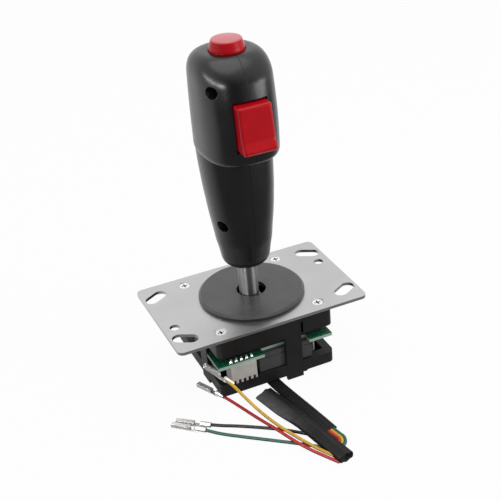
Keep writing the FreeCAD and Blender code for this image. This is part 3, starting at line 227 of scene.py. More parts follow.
class BaseSettings(bpy.types.PropertyGroup):
    """Housing, board and switches."""

    housing: colour("Housing", "Black of housing and gate", (0.008, 0.008, 0.0085))
    washer: colour("Washer", "Dust washer", (0.09, 0.09, 0.092))
    mask: colour("Solder mask", "Green of the board", (0.008, 0.095, 0.048))
    laminate: colour("Laminate", "Pale cut edge of the board", (0.42, 0.56, 0.46))
    nylon: colour("Header", "Pale header", (0.60, 0.58, 0.55))
    ball: colour("Ball", "Pale ball and actuator", (0.5, 0.49, 0.46))
    switch: colour("Switch", "Grey of the switches", (0.075, 0.074, 0.075))
    plunger: colour("Plunger", "Red of the plungers", (0.45, 0.02, 0.02))


# Shader helpers -------------------------------------------------------------


def put(tree, kind, links=None, **settings):
    """Adds a node, sets its properties, and gives each named input a value or a link."""
    item = tree.nodes.new(kind)
    for key, value in settings.items():
        setattr(item, key, value)
    for key, value in (links or {}).items():
        if isinstance(value, bpy.types.NodeSocket):
            tree.links.new(value, item.inputs[key])
        else:
            item.inputs[key].default_value = value
    return item


def maths(tree, operation, *values):
    """Result of a Math node on one or two values."""
    return put(tree, "ShaderNodeMath", dict(enumerate(values)), operation=operation).outputs[0]


def vectors(tree, operation, one, two, result="Vector"):
    """Result of a Vector Math node on two vectors."""
    links = {0: one, 1: two}
    return put(tree, "ShaderNodeVectorMath", links, operation=operation).outputs[result]


def dot(tree, one, two):
    """Dot product of two vectors."""
    return vectors(tree, "DOT_PRODUCT", one, two, "Value")


def coordinate(tree, vector, letter):
    """One coordinate of a vector."""
    return put(tree, "ShaderNodeSeparateXYZ", {0: vector}).outputs[letter]


def ramp(tree, value, low, high, to_low=0.0, to_high=1.0):
    """Maps low to high onto to_low to to_high, and holds both ends."""
    ends = {"From Min": low, "From Max": high, "To Min": to_low, "To Max": to_high}
    return put(tree, "ShaderNodeMapRange", {"Value": value, **ends}).outputs[0]


def spread(tree, value, low, high):
    """Maps a mask's 0.3 to 0.7 to a low and a high value."""
    return ramp(tree, value, 0.3, 0.7, low, high)


def noise(tree, place, scale, detail=2.0):
    """Fractal noise round 0.5."""
    links = {"Vector": place, "Scale": scale, "Detail": detail}
    return put(tree, "ShaderNodeTexNoise", links).outputs["Fac"]


def blend(tree, factor, one, two):
    """A colour between two colours, by the factor."""
    return put(tree, "ShaderNodeMix", {0: factor, 6: one, 7: two}, data_type="RGBA").outputs[2]


def toned(tint, factor):
    """A colour times a factor, as four values."""
    return (*(min(1.0, c * factor) for c in tint), 1.0)


def mottled(tree, shade, tint, swing):
    """The tint, darker and lighter by the swing where the slow shade is low and high."""
    return blend(tree, spread(tree, shade, 0, 1), toned(tint, 1 - swing), toned(tint, 1 + swing))


def object_place(tree):
    """Object coordinates."""
    return put(tree, "ShaderNodeTexCoord").outputs["Object"]


def level_mask(tree):
    """1 on faces that lie level and 0 on upright ones, by the height of the normal."""
    turn = put(tree, "ShaderNodeNewGeometry").outputs["Normal"]
    return ramp(tree, maths(tree, "ABSOLUTE", coordinate(tree, turn, "Z")), 0.4, 0.6)


def mirrored(tree, path):
    """1 for rays that left a glossy or clear surface."""
    return maths(tree, "MAXIMUM", path["Is Glossy Ray"], path["Is Transmission Ray"])


def relief(tree, shader, height, depth, normal=None):
    """Feeds a height through a Bump node of the given depth in metres into the shader's normal."""
    bump = put(tree, "ShaderNodeBump", {"Height": height, "Distance": depth, "Strength": 1.0})
    if normal is not None:
        tree.links.new(normal, bump.inputs["Normal"])
    tree.links.new(bump.outputs[0], shader.inputs["Normal"])


def feed(tree, shader, tone, rough):
    """Feeds a colour and a roughness into the shader."""
    tree.links.new(tone, shader.inputs["Base Color"])
    tree.links.new(rough, shader.inputs["Roughness"])


def clear_tree(owner):
    """Gives a material or a world an empty node tree."""
    owner.use_nodes = True
    owner.node_tree.nodes.clear()
    return owner.node_tree


def new_finish(name):
    """A material with a Principled shader; returns material, tree, shader and coordinates."""
    material = bpy.data.materials.new(name)
    tree = clear_tree(material)
    shader = put(tree, "ShaderNodeBsdfPrincipled")
    put(tree, "ShaderNodeOutputMaterial", {"Surface": shader.outputs[0]})
    return material, tree, shader, object_place(tree)


def shader_of(material):
    """The Principled shader of a finish."""
    return next(item for item in material.node_tree.nodes if item.type == "BSDF_PRINCIPLED")


# Effects that several finishes share ----------------------------------------

PLACE_INPUT = ("Vector", "NodeSocketVector", None)
HEIGHT_AND_SHADE = (("Height", "NodeSocketFloat"), ("Shade", "NodeSocketFloat"))


def effect(name, inputs, outputs, inside):
    """A shader node group, built at its first use.

    Inputs are rows of name, socket type and default, and outputs are rows of name and socket type.
    inside(tree, given) adds the nodes and returns one socket for each output.
    """
    if name in bpy.data.node_groups:
        return bpy.data.node_groups[name]
    tree = bpy.data.node_groups.new(name, "ShaderNodeTree")
    for key, kind, value in inputs:
        socket = tree.interface.new_socket(name=key, in_out="INPUT", socket_type=kind)
        if value is not None:
            socket.default_value = value
    for key, kind in outputs:
        tree.interface.new_socket(name=key, in_out="OUTPUT", socket_type=kind)
    made = inside(tree, put(tree, "NodeGroupInput").outputs)
    put(tree, "NodeGroupOutput", {key: socket for (key, _), socket in zip(outputs, made)})
    return tree


def place_group(tree, group, **values):
    """Places a node group in a material with its own input values or links."""
    return put(tree, "ShaderNodeGroup", values, node_tree=group).outputs


def moulded_grain():
    """Grain of spark-eroded mould steel: fine noise of a size as height, coarse noise as shade."""

    def inside(tree, given):
        scale = maths(tree, "DIVIDE", 1.0, given["Size"])
        return noise(tree, given["Vector"], scale), noise(tree, given["Vector"], 90.0, 3.0)

    size = ("Size", "NodeSocketFloat", 0.0004)
    return effect("Moulded Grain", (PLACE_INPUT, size), HEIGHT_AND_SHADE, inside)


def softened_edge():
    """Mask of sharp edges, and the normal softened there.

    The mask is how far the normal turns within the radius, broken up by noise.
    """

    def inside(tree, given):
        soft = put(tree, "ShaderNodeBevel", {"Radius": given["Radius"]}, samples=6).outputs[0]
        flat = put(tree, "ShaderNodeNewGeometry").outputs["Normal"]
        edge = ramp(tree, dot(tree, soft, flat), 0.99, 0.80)
        broken = ramp(tree, noise(tree, given["Vector"], 420.0, 3.0), 0.35, 0.62)
        return maths(tree, "MULTIPLY", edge, broken), soft

    radius = ("Radius", "NodeSocketFloat", 0.0003)
    outputs = (("Mask", "NodeSocketFloat"), ("Normal", "NodeSocketVector"))
    return effect("Rubbed Edge", (PLACE_INPUT, radius), outputs, inside)


def drawn_lines():
    """Lines of drawn or brushed metal: noise in stretched coordinates as height, cloud as shade."""

    def inside(tree, given):
        stretched = vectors(tree, "MULTIPLY", given["Vector"], given["Stretch"])
        return noise(tree, stretched, 1.0, 3.0), noise(tree, given["Vector"], 38.0, 4.0)

    stretch = ("Stretch", "NodeSocketVector", (60, 2600, 2600))
    return effect("Drawn Lines", (PLACE_INPUT, stretch), HEIGHT_AND_SHADE, inside)


# Finishes -------------------------------------------------------------------


def moulded(name, tint, rough, grain=0.0004, depth=0.00003, edge_pale=1.8, edge=0.00025):
    """Moulded plastic: fine grain, slow shade in colour and gloss, and paler rubbed edges."""
    material, tree, shader, place = new_finish(name)
    skin = place_group(tree, moulded_grain(), Vector=place, Size=grain)
    rim = place_group(tree, softened_edge(), Vector=place, Radius=edge)
    body = mottled(tree, skin["Shade"], tint, 0.15)
    tone = blend(tree, rim["Mask"], body, toned(tint, edge_pale))
    feed(tree, shader, tone, spread(tree, skin["Shade"], rough - 0.05, rough + 0.05))
    relief(tree, shader, skin["Height"], depth, rim["Normal"])
    return material


def grip_finish(settings):
    """Satin black of the grip halves, with the fine dark line where they meet at X = 0."""
    material, tree, shader, place = new_finish("Grip Satin Black")
    skin = place_group(tree, moulded_grain(), Vector=place, Size=0.00045)
    rim = place_group(tree, softened_edge(), Vector=place, Radius=0.0003)
    away = maths(tree, "ABSOLUTE", coordinate(tree, place, "X"))
    line = ramp(tree, away, settings.seam * 0.4, settings.seam)
    body = mottled(tree, skin["Shade"], settings.black, 0.12)
    edge_pale = blend(tree, rim["Mask"], body, toned(settings.black, 1.5))
    tone = blend(tree, line, toned(settings.black, 0.5), edge_pale)
    feed(tree, shader, tone, spread(tree, skin["Shade"], 0.24, 0.29))
    fine = maths(tree, "MULTIPLY", skin["Height"], 0.22)
    relief(tree, shader, maths(tree, "ADD", line, fine), 0.0001, rim["Normal"])
    return material


def red_finish(settings):
    """Semi-gloss red with slow flow marks and soft edges; the button's top is rubbed pale."""
    material, tree, shader, place = new_finish("Red Gloss Plastic")
    skin = place_group(tree, moulded_grain(), Vector=place, Size=0.0006)
    rim = place_group(tree, softened_edge(), Vector=place, Radius=0.0012)
    body = mottled(tree, skin["Shade"], settings.red, 0.06)
    edged = blend(tree, rim["Mask"], body, toned(settings.red, 1.1))
    # Painted sheen: above this height the button's top turns pale pink, standing in for light off
    # it.
    start = settings.top_sheen_above - TOP_SHEEN_FADE
    top = ramp(tree, coordinate(tree, place, "Z"), start, settings.top_sheen_above)
    tone = blend(tree, top, edged, (*settings.rubbed, 1.0))
    feed(tree, shader, tone, spread(tree, skin["Shade"], 0.2, 0.26))
    shader.inputs["Specular IOR Level"].default_value = 0.25
    relief(tree, shader, skin["Height"], 0.000003, rim["Normal"])
    return material


def metal(name, tint, rough, lines, depth=0.000004, edge=0.0002):
    """Bare or plated metal: fine lines, gloss between two roughnesses, and brighter edges."""
    material, tree, shader, place = new_finish(name)
    skin = place_group(tree, drawn_lines(), Vector=place, Stretch=lines)
    rim = place_group(tree, softened_edge(), Vector=place, Radius=edge)
    body = mottled(tree, skin["Shade"], tint, 0.05)
    tone = blend(tree, rim["Mask"], body, toned(tint, 1.25))
    feed(tree, shader, tone, spread(tree, skin["Height"], *rough))
    shader.inputs["Metallic"].default_value = 1.0
    relief(tree, shader, skin["Height"], depth, rim["Normal"])
    return material


def screw_finish(settings):
    """Bright plated screw, dark in the recess below the flat of its head."""
    material = metal(
        "Bright Screw", settings.screw, rough=(0.26, 0.42), lines=(500, 500, 500), depth=0.000002
    )
    tree, shader = material.node_tree, shader_of(material)
    plating = shader.inputs["Base Color"].links[0].from_socket
    rise = coordinate(tree, object_place(tree), "Z")
    # Painted shade: below the flat of the head the recess turns dark.
    recess_shade = ramp(tree, rise, settings.shade_below, settings.shade_below - RECESS_SHADE_FADE)
    tree.links.new(blend(tree, recess_shade, plating, RECESS_PAINTED_SHADE), shader.inputs["Base Color"])
    return material


def shaft_finish(settings):
    """Ground and polished shaft, whose fine rings stretch its highlights along it."""
    material = metal(
        "Polished Shaft", settings.shaft, rough=(0.36, 0.42), lines=(40, 40, 2600), depth=0.000001
    )
    shader = shader_of(material)
    shader.inputs["Anisotropic"].default_value = 0.9
    shader.inputs["Anisotropic Rotation"].default_value = 0.25
    return material


def washer_finish(settings):
    """Satin plastic of the dust washer, darker on its upright rim."""
    # Its paler edges, at 2.4 times its colour, are a painted highlight line.
    material = moulded(
        "Washer Satin", settings.washer, rough=0.28, grain=0.0005, depth=0.000006, edge_pale=2.4,
        edge=0.0004,
    )
    tree, shader = material.node_tree, shader_of(material)
    face = shader.inputs["Base Color"].links[0].from_socket
    # Painted shade: faces that stand upright take 0.3 of the washer's colour.
    tone = blend(tree, level_mask(tree), toned(settings.washer, 0.3), face)
    tree.links.new(tone, shader.inputs["Base Color"])
    return material


def board_finish(settings):
    """Circuit board: green mask over faint tracks on the faces, pale laminate on the cut edges."""
    material, tree, shader, place = new_finish("Green Solder Mask")
    skin = place_group(tree, moulded_grain(), Vector=place, Size=0.0007)
    face = level_mask(tree)
    pattern = {"Vector": place, "Scale": 110.0, "Mortar Size": 0.045, "Mortar Smooth": 0.2}
    grid = put(tree, "ShaderNodeTexBrick", pattern).outputs["Fac"]
    tracks = blend(tree, grid, toned(settings.mask, 0.9), toned(settings.mask, 1.9))
    fibre = mottled(tree, skin["Shade"], settings.laminate, 0.1)
    feed(tree, shader, blend(tree, face, fibre, tracks), ramp(tree, face, 0.0, 1.0, 0.75, 0.28))
    relief(tree, shader, maths(tree, "ADD", grid, skin["Height"]), 0.00002)
    return material


def insulation(name, tint, rough=0.42):
    """Extruded insulation: slow colour change along the run, faint surface ripple."""
    material, tree, shader, place = new_finish(name)
    skin = place_group(tree, moulded_grain(), Vector=place, Size=0.0012)
    tone = mottled(tree, skin["Shade"], tint, 0.14)
    feed(tree, shader, tone, spread(tree, skin["Shade"], rough - 0.06, rough + 0.06))
    relief(tree, shader, skin["Height"], 0.00002)
    return material


def vinyl_finish(name, tint, pale, flap=None):
    """Soft vinyl tube: dull black with paler scuffs and small creases.

    A flap is given as start, direction and half width in metres: there the film is smoky and paler
    towards the left of the run, over its last part.
    """
    material, tree, shader, place = new_finish(name)
    skin = place_group(tree, moulded_grain(), Vector=place, Size=0.0018)
    scuff = noise(tree, place, 230.0, 5.0)
    tone = blend(tree, ramp(tree, scuff, 0.62, 0.86), (*tint, 1.0), (*pale, 1.0))
    if flap:
        start, run, half = flap
        left = (-run[1], run[0], 0.0)
        local = vectors(tree, "SUBTRACT", place, start)
        late = ramp(tree, dot(tree, local, run), FLAP_STARTS, FLAP_FULL)
        outer = ramp(tree, dot(tree, local, left), -0.35 * half, 1.2 * half)
        film = maths(tree, "MULTIPLY", late, outer)
        cloud = maths(tree, "MULTIPLY", film, spread(tree, scuff, 0.55, 1.0))
        tone = blend(tree, cloud, tone, toned(pale, 2.6))
    feed(tree, shader, tone, spread(tree, skin["Shade"], 0.52, 0.68))
    shader.inputs["Specular IOR Level"].default_value = 0.3
    relief(tree, shader, skin["Height"], 0.0001)
    return material


# Shape helpers --------------------------------------------------------------


def dress(material, *names):
    """Gives CAD nodes a finish in their own material slots."""
    for name in names:
        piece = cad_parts[name]
        if not piece.material_slots:
            piece.data.materials.append(material)
        for place in piece.material_slots:
            place.material = material


def mesh_piece(name, points, faces, material, body="base"):
    """A smooth mesh object at the origin; with no body it is left to be blended between two."""
    mesh = bpy.data.meshes.new(name)
    mesh.from_pydata(points.reshape(-1, 3).tolist(), [], faces.tolist())
    mesh.polygons.foreach_set("use_smooth", np.ones(len(mesh.polygons), bool))
    mesh.materials.append(material)
    piece = bpy.data.objects.new(name, mesh)
    bpy.context.scene.collection.objects.link(piece)
    if body:
        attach(piece, body)
    return piece


def grid_faces(rings, around):
    """Quads of a row of closed rings: corner (i, j) joins (i + 1, j) and the next j."""
    i, j = np.meshgrid(np.arange(rings - 1), np.arange(around), indexing="ij")
    k = (j + 1) % around
    this, following = i * around, (i + 1) * around
    return np.stack([this + j, this + k, following + k, following + j], -1).reshape(-1, 4)


def path_faces(rings):
    """Quads of rings that follow a path, turned to point outwards."""
    return grid_faces(len(rings), rings.shape[1])[:, ::-1]


def circle_angles(count):
    """Even steps round a circle."""
    return np.arange(count) * 2 * np.pi / count


def route_curve(name, route, thickness=0.0):
    """A NURBS curve with the route's points as control points, round with the given diameter."""
    curve = bpy.data.curves.new(name, "CURVE")
    curve.dimensions = "3D"
    curve.resolution_u = 24
    curve.bevel_depth = thickness / 2
    curve.bevel_resolution = 6
    curve.use_fill_caps = thickness > 0
    line = curve.splines.new("NURBS")
    line.points.add(len(route) - 1)
    line.points.foreach_set("co", np.c_[np.asarray(route, float), np.ones(len(route))].ravel())
    line.order_u = 3
    line.use_endpoint_u = True
    piece = bpy.data.objects.new(name, curve)
    bpy.context.scene.collection.objects.link(piece)
    return piece


def route_points(route):
    """Points of the route's NURBS line, read from a curve with no bevel, which is then removed."""
    bare = route_curve("route", route)
    bpy.context.view_layer.update()
    solved = bare.evaluated_get(bpy.context.evaluated_depsgraph_get())
    mesh = bpy.data.meshes.new_from_object(solved)
    points = np.empty(len(mesh.vertices) * 3)
    mesh.vertices.foreach_get("co", points)
    curve = bare.data
    bpy.data.objects.remove(bare)
    bpy.data.curves.remove(curve)
    bpy.data.meshes.remove(mesh)
    return points.reshape(-1, 3)


def run_length(points):
    """Length of a row of points."""
    return float(np.linalg.norm(np.diff(points, axis=0), axis=1).sum())


def route_axes(points):
    """Unit side and upward directions at each point: side = run x Z, upward = side x run."""
    run = np.gradient(points, axis=0)
    run /= np.linalg.norm(run, axis=1, keepdims=True)
    side = np.cross(run, UPWARD)
    side /= np.linalg.norm(side, axis=1, keepdims=True)
    return side, np.cross(side, run)


def band_points(points, width, height, ribs, rib_depth, flare=0.0, around=64, power=2.8):
    """Rings of a flat tube along a line.

    A ring is the superellipse |u|^p + |v|^p = 1 scaled by half width and half height. Its top and
    bottom carry ribs, depth * cos(ribs * pi * u) * |v|, where the wires inside press through.
    A flare w(s) = flare * smoothstep((s - 0.5) / 0.3) widens the left half into a flat flap, where
    s runs from 0 to 1 along the line.
    """
    side, up = route_axes(points)
    angle = circle_angles(around)
    u = np.sign(np.cos(angle)) * np.abs(np.cos(angle)) ** (2 / power)
    v = np.sign(np.sin(angle)) * np.abs(np.sin(angle)) ** (2 / power)
    rib = np.sign(v) * rib_depth * np.cos(ribs * np.pi * u) * np.abs(v)
    lift = v * (height / 2 - rib_depth) + rib
    step = np.clip((np.linspace(0, 1, len(points)) - 0.5) / 0.3, 0, 1)
    wide = flare * step * step * (3 - 2 * step)
    outer = wide[:, None] * np.clip(-u, 0, 1)[None]
    across = (u[None] * (1 + outer))[..., None] * side[:, None, :] * width / 2
    above = (lift[None] * (1 - outer))[..., None] * up[:, None, :]
    return points[:, None, :] + across + above


def open_ends(rings, lip=0.78, depth=0.002):
    """Adds a lip, an inner wall and a closing row of points at both ends of a row of rings."""

    def inside(ring, neighbour):
        centre = ring.mean(0)
        inward = neighbour.mean(0) - centre
        inward /= np.linalg.norm(inward)
        mouth = centre + (ring - centre) * lip
        floor = mouth + inward * depth
        return np.stack([mouth, floor, np.broadcast_to(floor.mean(0), ring.shape)])

    start, end = inside(rings[0], rings[1]), inside(rings[-1], rings[-2])
    return np.concatenate([start[::-1], rings, end])


def turned_points(profile, centre, around=32):
    """Surface of revolution about Z: the profile's radius and height, turned round the centre."""
    angle = circle_angles(around)
    radius, rise = np.asarray(profile, float).T[:, :, None, None]
    ring = np.stack([np.cos(angle), np.sin(angle), np.zeros(around)], -1)
    return radius * ring + rise * UPWARD + np.asarray(centre, float)


# Operators ------------------------------------------------------------------


class FLIGHTSTICK_OT_stage(bpy.types.Operator):
    """Camera, floor, white studio surround and lamps."""

    bl_idname = "flight_stick.stage"
    bl_label = "Stage"

    def execute(self, context):
        scene = context.scene
        studio = scene.flight_stick_studio
        scene.view_settings.view_transform = "Standard"

        camera = bpy.data.objects.new("camera", bpy.data.cameras.new("camera"))
        camera.data.sensor_width = 36
        camera.data.lens = studio.lens
        camera.data.clip_start = 0.01
        camera.location = studio.camera_place
        camera.rotation_euler = studio.camera_turn
        scene.collection.objects.link(camera)
        scene.camera = camera

        for name, (place, size, power, gloss_only, unlit) in LAMPS.items():
            lamp = bpy.data.objects.new(name, bpy.data.lights.new(name, "AREA"))
            lamp.data.shape = "ELLIPSE"
            lamp.data.size, lamp.data.size_y = size
            lamp.data.energy = getattr(studio, power)
            lamp.visible_diffuse = not gloss_only
            lamp.location = place
            aim = Vector(LAMP_AIM) - Vector(place)
            lamp.rotation_euler = aim.to_track_quat("-Z", "Y").to_euler()
            scene.collection.objects.link(lamp)
            self.flag(lamp, unlit)

        self.surround(scene, studio)
        self.floor(scene, studio)
        return {"FINISHED"}

    def flag(self, lamp, unlit):
        """Keeps a lamp off some pieces, as a card held before it would."""
        if unlit:
            shaded = bpy.data.collections.new(f"{lamp.name}_flag")
            for name in unlit:
                shaded.objects.link(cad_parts[name])
            for member in shaded.collection_objects:
                member.light_linking.link_state = "EXCLUDE"
            lamp.light_linking.receiver_collection = shaded

    def surround(self, scene, studio):
        """White to the camera and in gloss behind the object, darker in gloss on the lens side."""
        world = bpy.data.worlds.new("studio")
        scene.world = world
        tree = clear_tree(world)
        way = put(tree, "ShaderNodeTexCoord").outputs["Generated"]
        shade = ramp(tree, dot(tree, way, LENS_SIDE), 0.3, 0.85, 1.0, 0.1)
        path = put(tree, "ShaderNodeLightPath").outputs
        even, card, white = (
            put(tree, "ShaderNodeBackground", {"Color": WHITE, "Strength": strength}).outputs[0]
            for strength in (studio.sky, shade, 1.0)
        )
        unseen = put(tree, "ShaderNodeMixShader", {0: mirrored(tree, path), 1: even, 2: card})
        shown = put(
            tree, "ShaderNodeMixShader", {0: path["Is Camera Ray"], 1: unseen.outputs[0], 2: white}
        )
        put(tree, "ShaderNodeOutputWorld", {"Surface": shown.outputs[0]})

    def floor(self, scene, studio):
        """A pale sheet at Z = 0, nearly white to the camera and still taking the shadow.

        Behind the object it is white in reflections too. Before the object it is dim there, as a
        dark flag beside the lens makes it, so that black fronts stay black.
        """
        corners = np.array([(-1, -1, 0), (1, -1, 0), (1, 1, 0), (-1, 1, 0)]) * FLOOR_HALF
        mesh = bpy.data.meshes.new("floor")
        mesh.from_pydata(corners.tolist(), [], [(0, 1, 2, 3)])
        sheet = bpy.data.objects.new("floor", mesh)
        scene.collection.objects.link(sheet)
        material = bpy.data.materials.new("Studio Paper")
        tree = clear_tree(material)
        place = object_place(tree)
        path = put(tree, "ShaderNodeLightPath").outputs
        behind = ramp(tree, coordinate(tree, place, "Y"), -0.05, 0.12)
        pale = maths(tree, "MAXIMUM", path["Is Camera Ray"], behind)
        dull, clean = toned(studio.floor_tint, 0.98), toned(studio.floor_tint, 1.0)
        paper = blend(tree, noise(tree, place, 900.0), dull, clean)
        tone = blend(tree, pale, toned(studio.flag_tint, 1.0), paper)
        matt = put(tree, "ShaderNodeBsdfDiffuse", {"Color": tone}).outputs[0]
        glow = put(tree, "ShaderNodeEmission", {"Color": WHITE, "Strength": 1.0}).outputs[0]
        seen = maths(tree, "MULTIPLY", path["Is Camera Ray"], FLOOR_GLOW)
        shown = maths(tree, "MULTIPLY", mirrored(tree, path), behind)
        share = maths(tree, "MAXIMUM", seen, shown)
        mixed = put(tree, "ShaderNodeMixShader", {0: share, 1: matt, 2: glow})
        put(tree, "ShaderNodeOutputMaterial", {"Surface": mixed.outputs[0]})
        mesh.materials.append(material)


class FLIGHTSTICK_OT_wires(bpy.types.Operator):
    """Four coloured wires, each ending in its crimp terminal."""

    bl_idname = "flight_stick.wires"
    bl_label = "Wires"

    def execute(self, context):
        lead = context.scene.flight_stick_lead
        metals = context.scene.flight_stick_metal
        tin = metal(
            "Tin Plate", metals.tin, rough=(0.38, 0.52), lines=(500, 500, 500), depth=0.000002
        )
        for tint, route in WIRE_ROUTES.items():
            node = f"wire_{tint}"
            piece = route_curve(f"{tint}_wire", route, lead.wire)
            finish = insulation(f"Insulation {tint.title()}", getattr(lead, tint))
            piece.data.materials.append(finish)
            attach(piece, "base")
            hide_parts(node)
            dress(tin, f"terminal_{tint}")
            run = run_length(route_points(route))
        return {"FINISHED"}


class FLIGHTSTICK_OT_lead(bpy.types.Operator):
    """Flat sleeve under the base, bare strands at the bend, and the folded part."""

    bl_idname = "flight_stick.lead"
    bl_label = "Lead"

    def execute(self, context):
        lead = context.scene.flight_stick_lead
        vinyl = vinyl_finish("Sleeve Vinyl", lead.vinyl, toned(lead.vinyl, 6.0)[:3])
        run = np.subtract(HANK_ROUTE[-1], HANK_ROUTE[0])
        flap = (HANK_ROUTE[0], tuple(run / np.linalg.norm(run)), lead.hank_width / 2)
        smoky = vinyl_finish("Hank Vinyl", lead.vinyl, toned(lead.vinyl, 12.0)[:3], flap)

        strands = self.strands(lead)
        root = turned_points(ROOT_PROFILE, (0, 0, 0))
        turned = grid_faces(len(root), root.shape[1])
        stub = mesh_piece("lead_root", root, turned, vinyl)

        line = route_points(SLEEVE_ROUTE)
        rings = open_ends(
            band_points(line, lead.sleeve_width, lead.sleeve_height, ribs=3.0, rib_depth=0.00012)
        )
        sleeve = mesh_piece("sleeve", rings, path_faces(rings), vinyl)
        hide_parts("lead_sleeve")

        line = route_points(HANK_ROUTE)
        rings = open_ends(
            band_points(
                line, lead.hank_width, lead.hank_height, ribs=2.0, rib_depth=0.0003, flare=0.55
            )
        )
        hank = mesh_piece("hank", rings, path_faces(rings), smoky)
        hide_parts("lead_hank")
        return {"FINISHED"}

    def strands(self, lead):
        """Three strands round the bend: the bend's route moved sideways by one wire each."""
        route = np.asarray(BEND_ROUTE)
        side, _ = route_axes(route)
        made = []
        for step, tint in ((-1, "green"), (0, "yellow"), (1, "red")):
            shifted = route + side * step * lead.wire
            piece = route_curve(f"{tint}_strand", shifted, lead.wire)
            piece.data.materials.append(bpy.data.materials[f"Insulation {tint.title()}"])
            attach(piece, "base")
            made.append(piece)
        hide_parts("lead_bend")
        return made


class FLIGHTSTICK_OT_grip(bpy.types.Operator):
    """Finish of the two grip halves and their screws."""

    bl_idname = "flight_stick.grip"
    bl_label = "Grip"

    def execute(self, context):
        grip = context.scene.flight_stick_grip
        metals = context.scene.flight_stick_metal
        dress(grip_finish(grip), "grip_left_shell", "grip_right_shell")
        screw = metal("Black Screw", metals.blackened, rough=(0.3, 0.5), lines=(900, 900, 900))
        dress(screw, "grip_screws")
        return {"FINISHED"}


class FLIGHTSTICK_OT_controls(bpy.types.Operator):
    """Finish of the button, the trigger and the switches behind them."""

    bl_idname = "flight_stick.controls"
    bl_label = "Button and trigger"

    def execute(self, context):
        grip = context.scene.flight_stick_grip
        base = context.scene.flight_stick_base
        metals = context.scene.flight_stick_metal
        dress(red_finish(grip), "top_button", "trigger")
        pin = metal("Pin Steel", metals.bright, rough=(0.12, 0.3), lines=(1500, 200, 200))
        dress(pin, "trigger_pin")
        dress(moulded("Small Switch Grey", base.switch, rough=0.45), "top_switch", "trigger_switch")
        dress(moulded("Plunger Red", base.plunger, rough=0.35), "top_plunger", "trigger_plunger")
        return {"FINISHED"}


class FLIGHTSTICK_OT_shaft(bpy.types.Operator):
    """Finish of the shaft, its fittings and the dust washer, and the spring."""

    bl_idname = "flight_stick.shaft"
    bl_label = "Shaft"

    def execute(self, context):
        metals = context.scene.flight_stick_metal
        base = context.scene.flight_stick_base
        dress(shaft_finish(metals), "shaft")
        steel = metal("Spring Steel", metals.bright, rough=(0.16, 0.34), lines=(600, 600, 600))
        dress(steel, "retaining_ring", "shaft_nut")
        self.spring(metals, steel)
        dress(moulded("Ball Nylon", base.ball, rough=0.35, edge_pale=1.1), "pivot_ball", "actuator")
        dress(washer_finish(base), "dust_washer")
        return {"FINISHED"}

    def spring(self, metals, steel):
        """The centring spring in two lengths, so that it leans with both tilts.

        The centre line is the helix (R cos a, R sin a, z0 + rise * a / (2 pi turns)), and a circle
        of the wire's radius is carried along it. The upper length turns from the base to the
        carrier, and the lower one from the carrier to the stick.
        """
        low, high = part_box("centering_spring")
        wire = metals.spring_wire
        radius = (high.x - low.x - wire) / 2
        foot, seat = low.z + wire / 2, high.z - wire / 2
        middle = foot + SPRING_SPLIT * (seat - foot)
        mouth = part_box("switch_board")[1].z
        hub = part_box("actuator")[1].z
        turn = circle_angles(SPRING_SIDES)[None, :, None]
        for name, ends, bodies, span in (
            ("spring_upper", (middle, seat), ("base", "carrier"), (mouth, middle)),
            ("spring_lower", (foot, middle), ("carrier", "stick"), (middle, hub)),
        ):
            z = np.linspace(*ends, SPRING_STEPS)
            angle = 2 * np.pi * metals.spring_turns * (z - foot) / (seat - foot)
            out = np.stack([np.cos(angle), np.sin(angle), np.zeros_like(z)], -1)
            line = out * radius + z[:, None] * UPWARD
            ring = np.cos(turn) * out[:, None] + np.sin(turn) * UPWARD
            caps = np.broadcast_to(line[[0, -1], None], (2, SPRING_SIDES, 3))
            rings = np.concatenate([caps[:1], line[:, None] + ring * wire / 2, caps[1:]])
            piece = mesh_piece(name, rings, path_faces(rings), steel, None)
            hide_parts("centering_spring")
            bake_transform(piece)


class FLIGHTSTICK_OT_plate(bpy.types.Operator):
    """Finish of the mounting plate and its screws."""

    bl_idname = "flight_stick.plate"
    bl_label = "Plate"

    def execute(self, context):
        metals = context.scene.flight_stick_metal
        zinc = metal("Satin Zinc", metals.plate, rough=(0.3, 0.42), lines=(70, 2600, 2600))
        dress(zinc, "mounting_plate")
        dress(screw_finish(metals), "plate_screws")
        return {"FINISHED"}


class FLIGHTSTICK_OT_base(bpy.types.Operator):
    """Finish of the housing and the gate."""

    bl_idname = "flight_stick.base"
    bl_label = "Housing and gate"

    def execute(self, context):
        base = context.scene.flight_stick_base
        dress(moulded("Housing Black", base.housing, rough=0.42, grain=0.0006), "base_housing")
        dress(moulded("Gate Black", base.housing, rough=0.46, grain=0.0006), "gate")
        return {"FINISHED"}


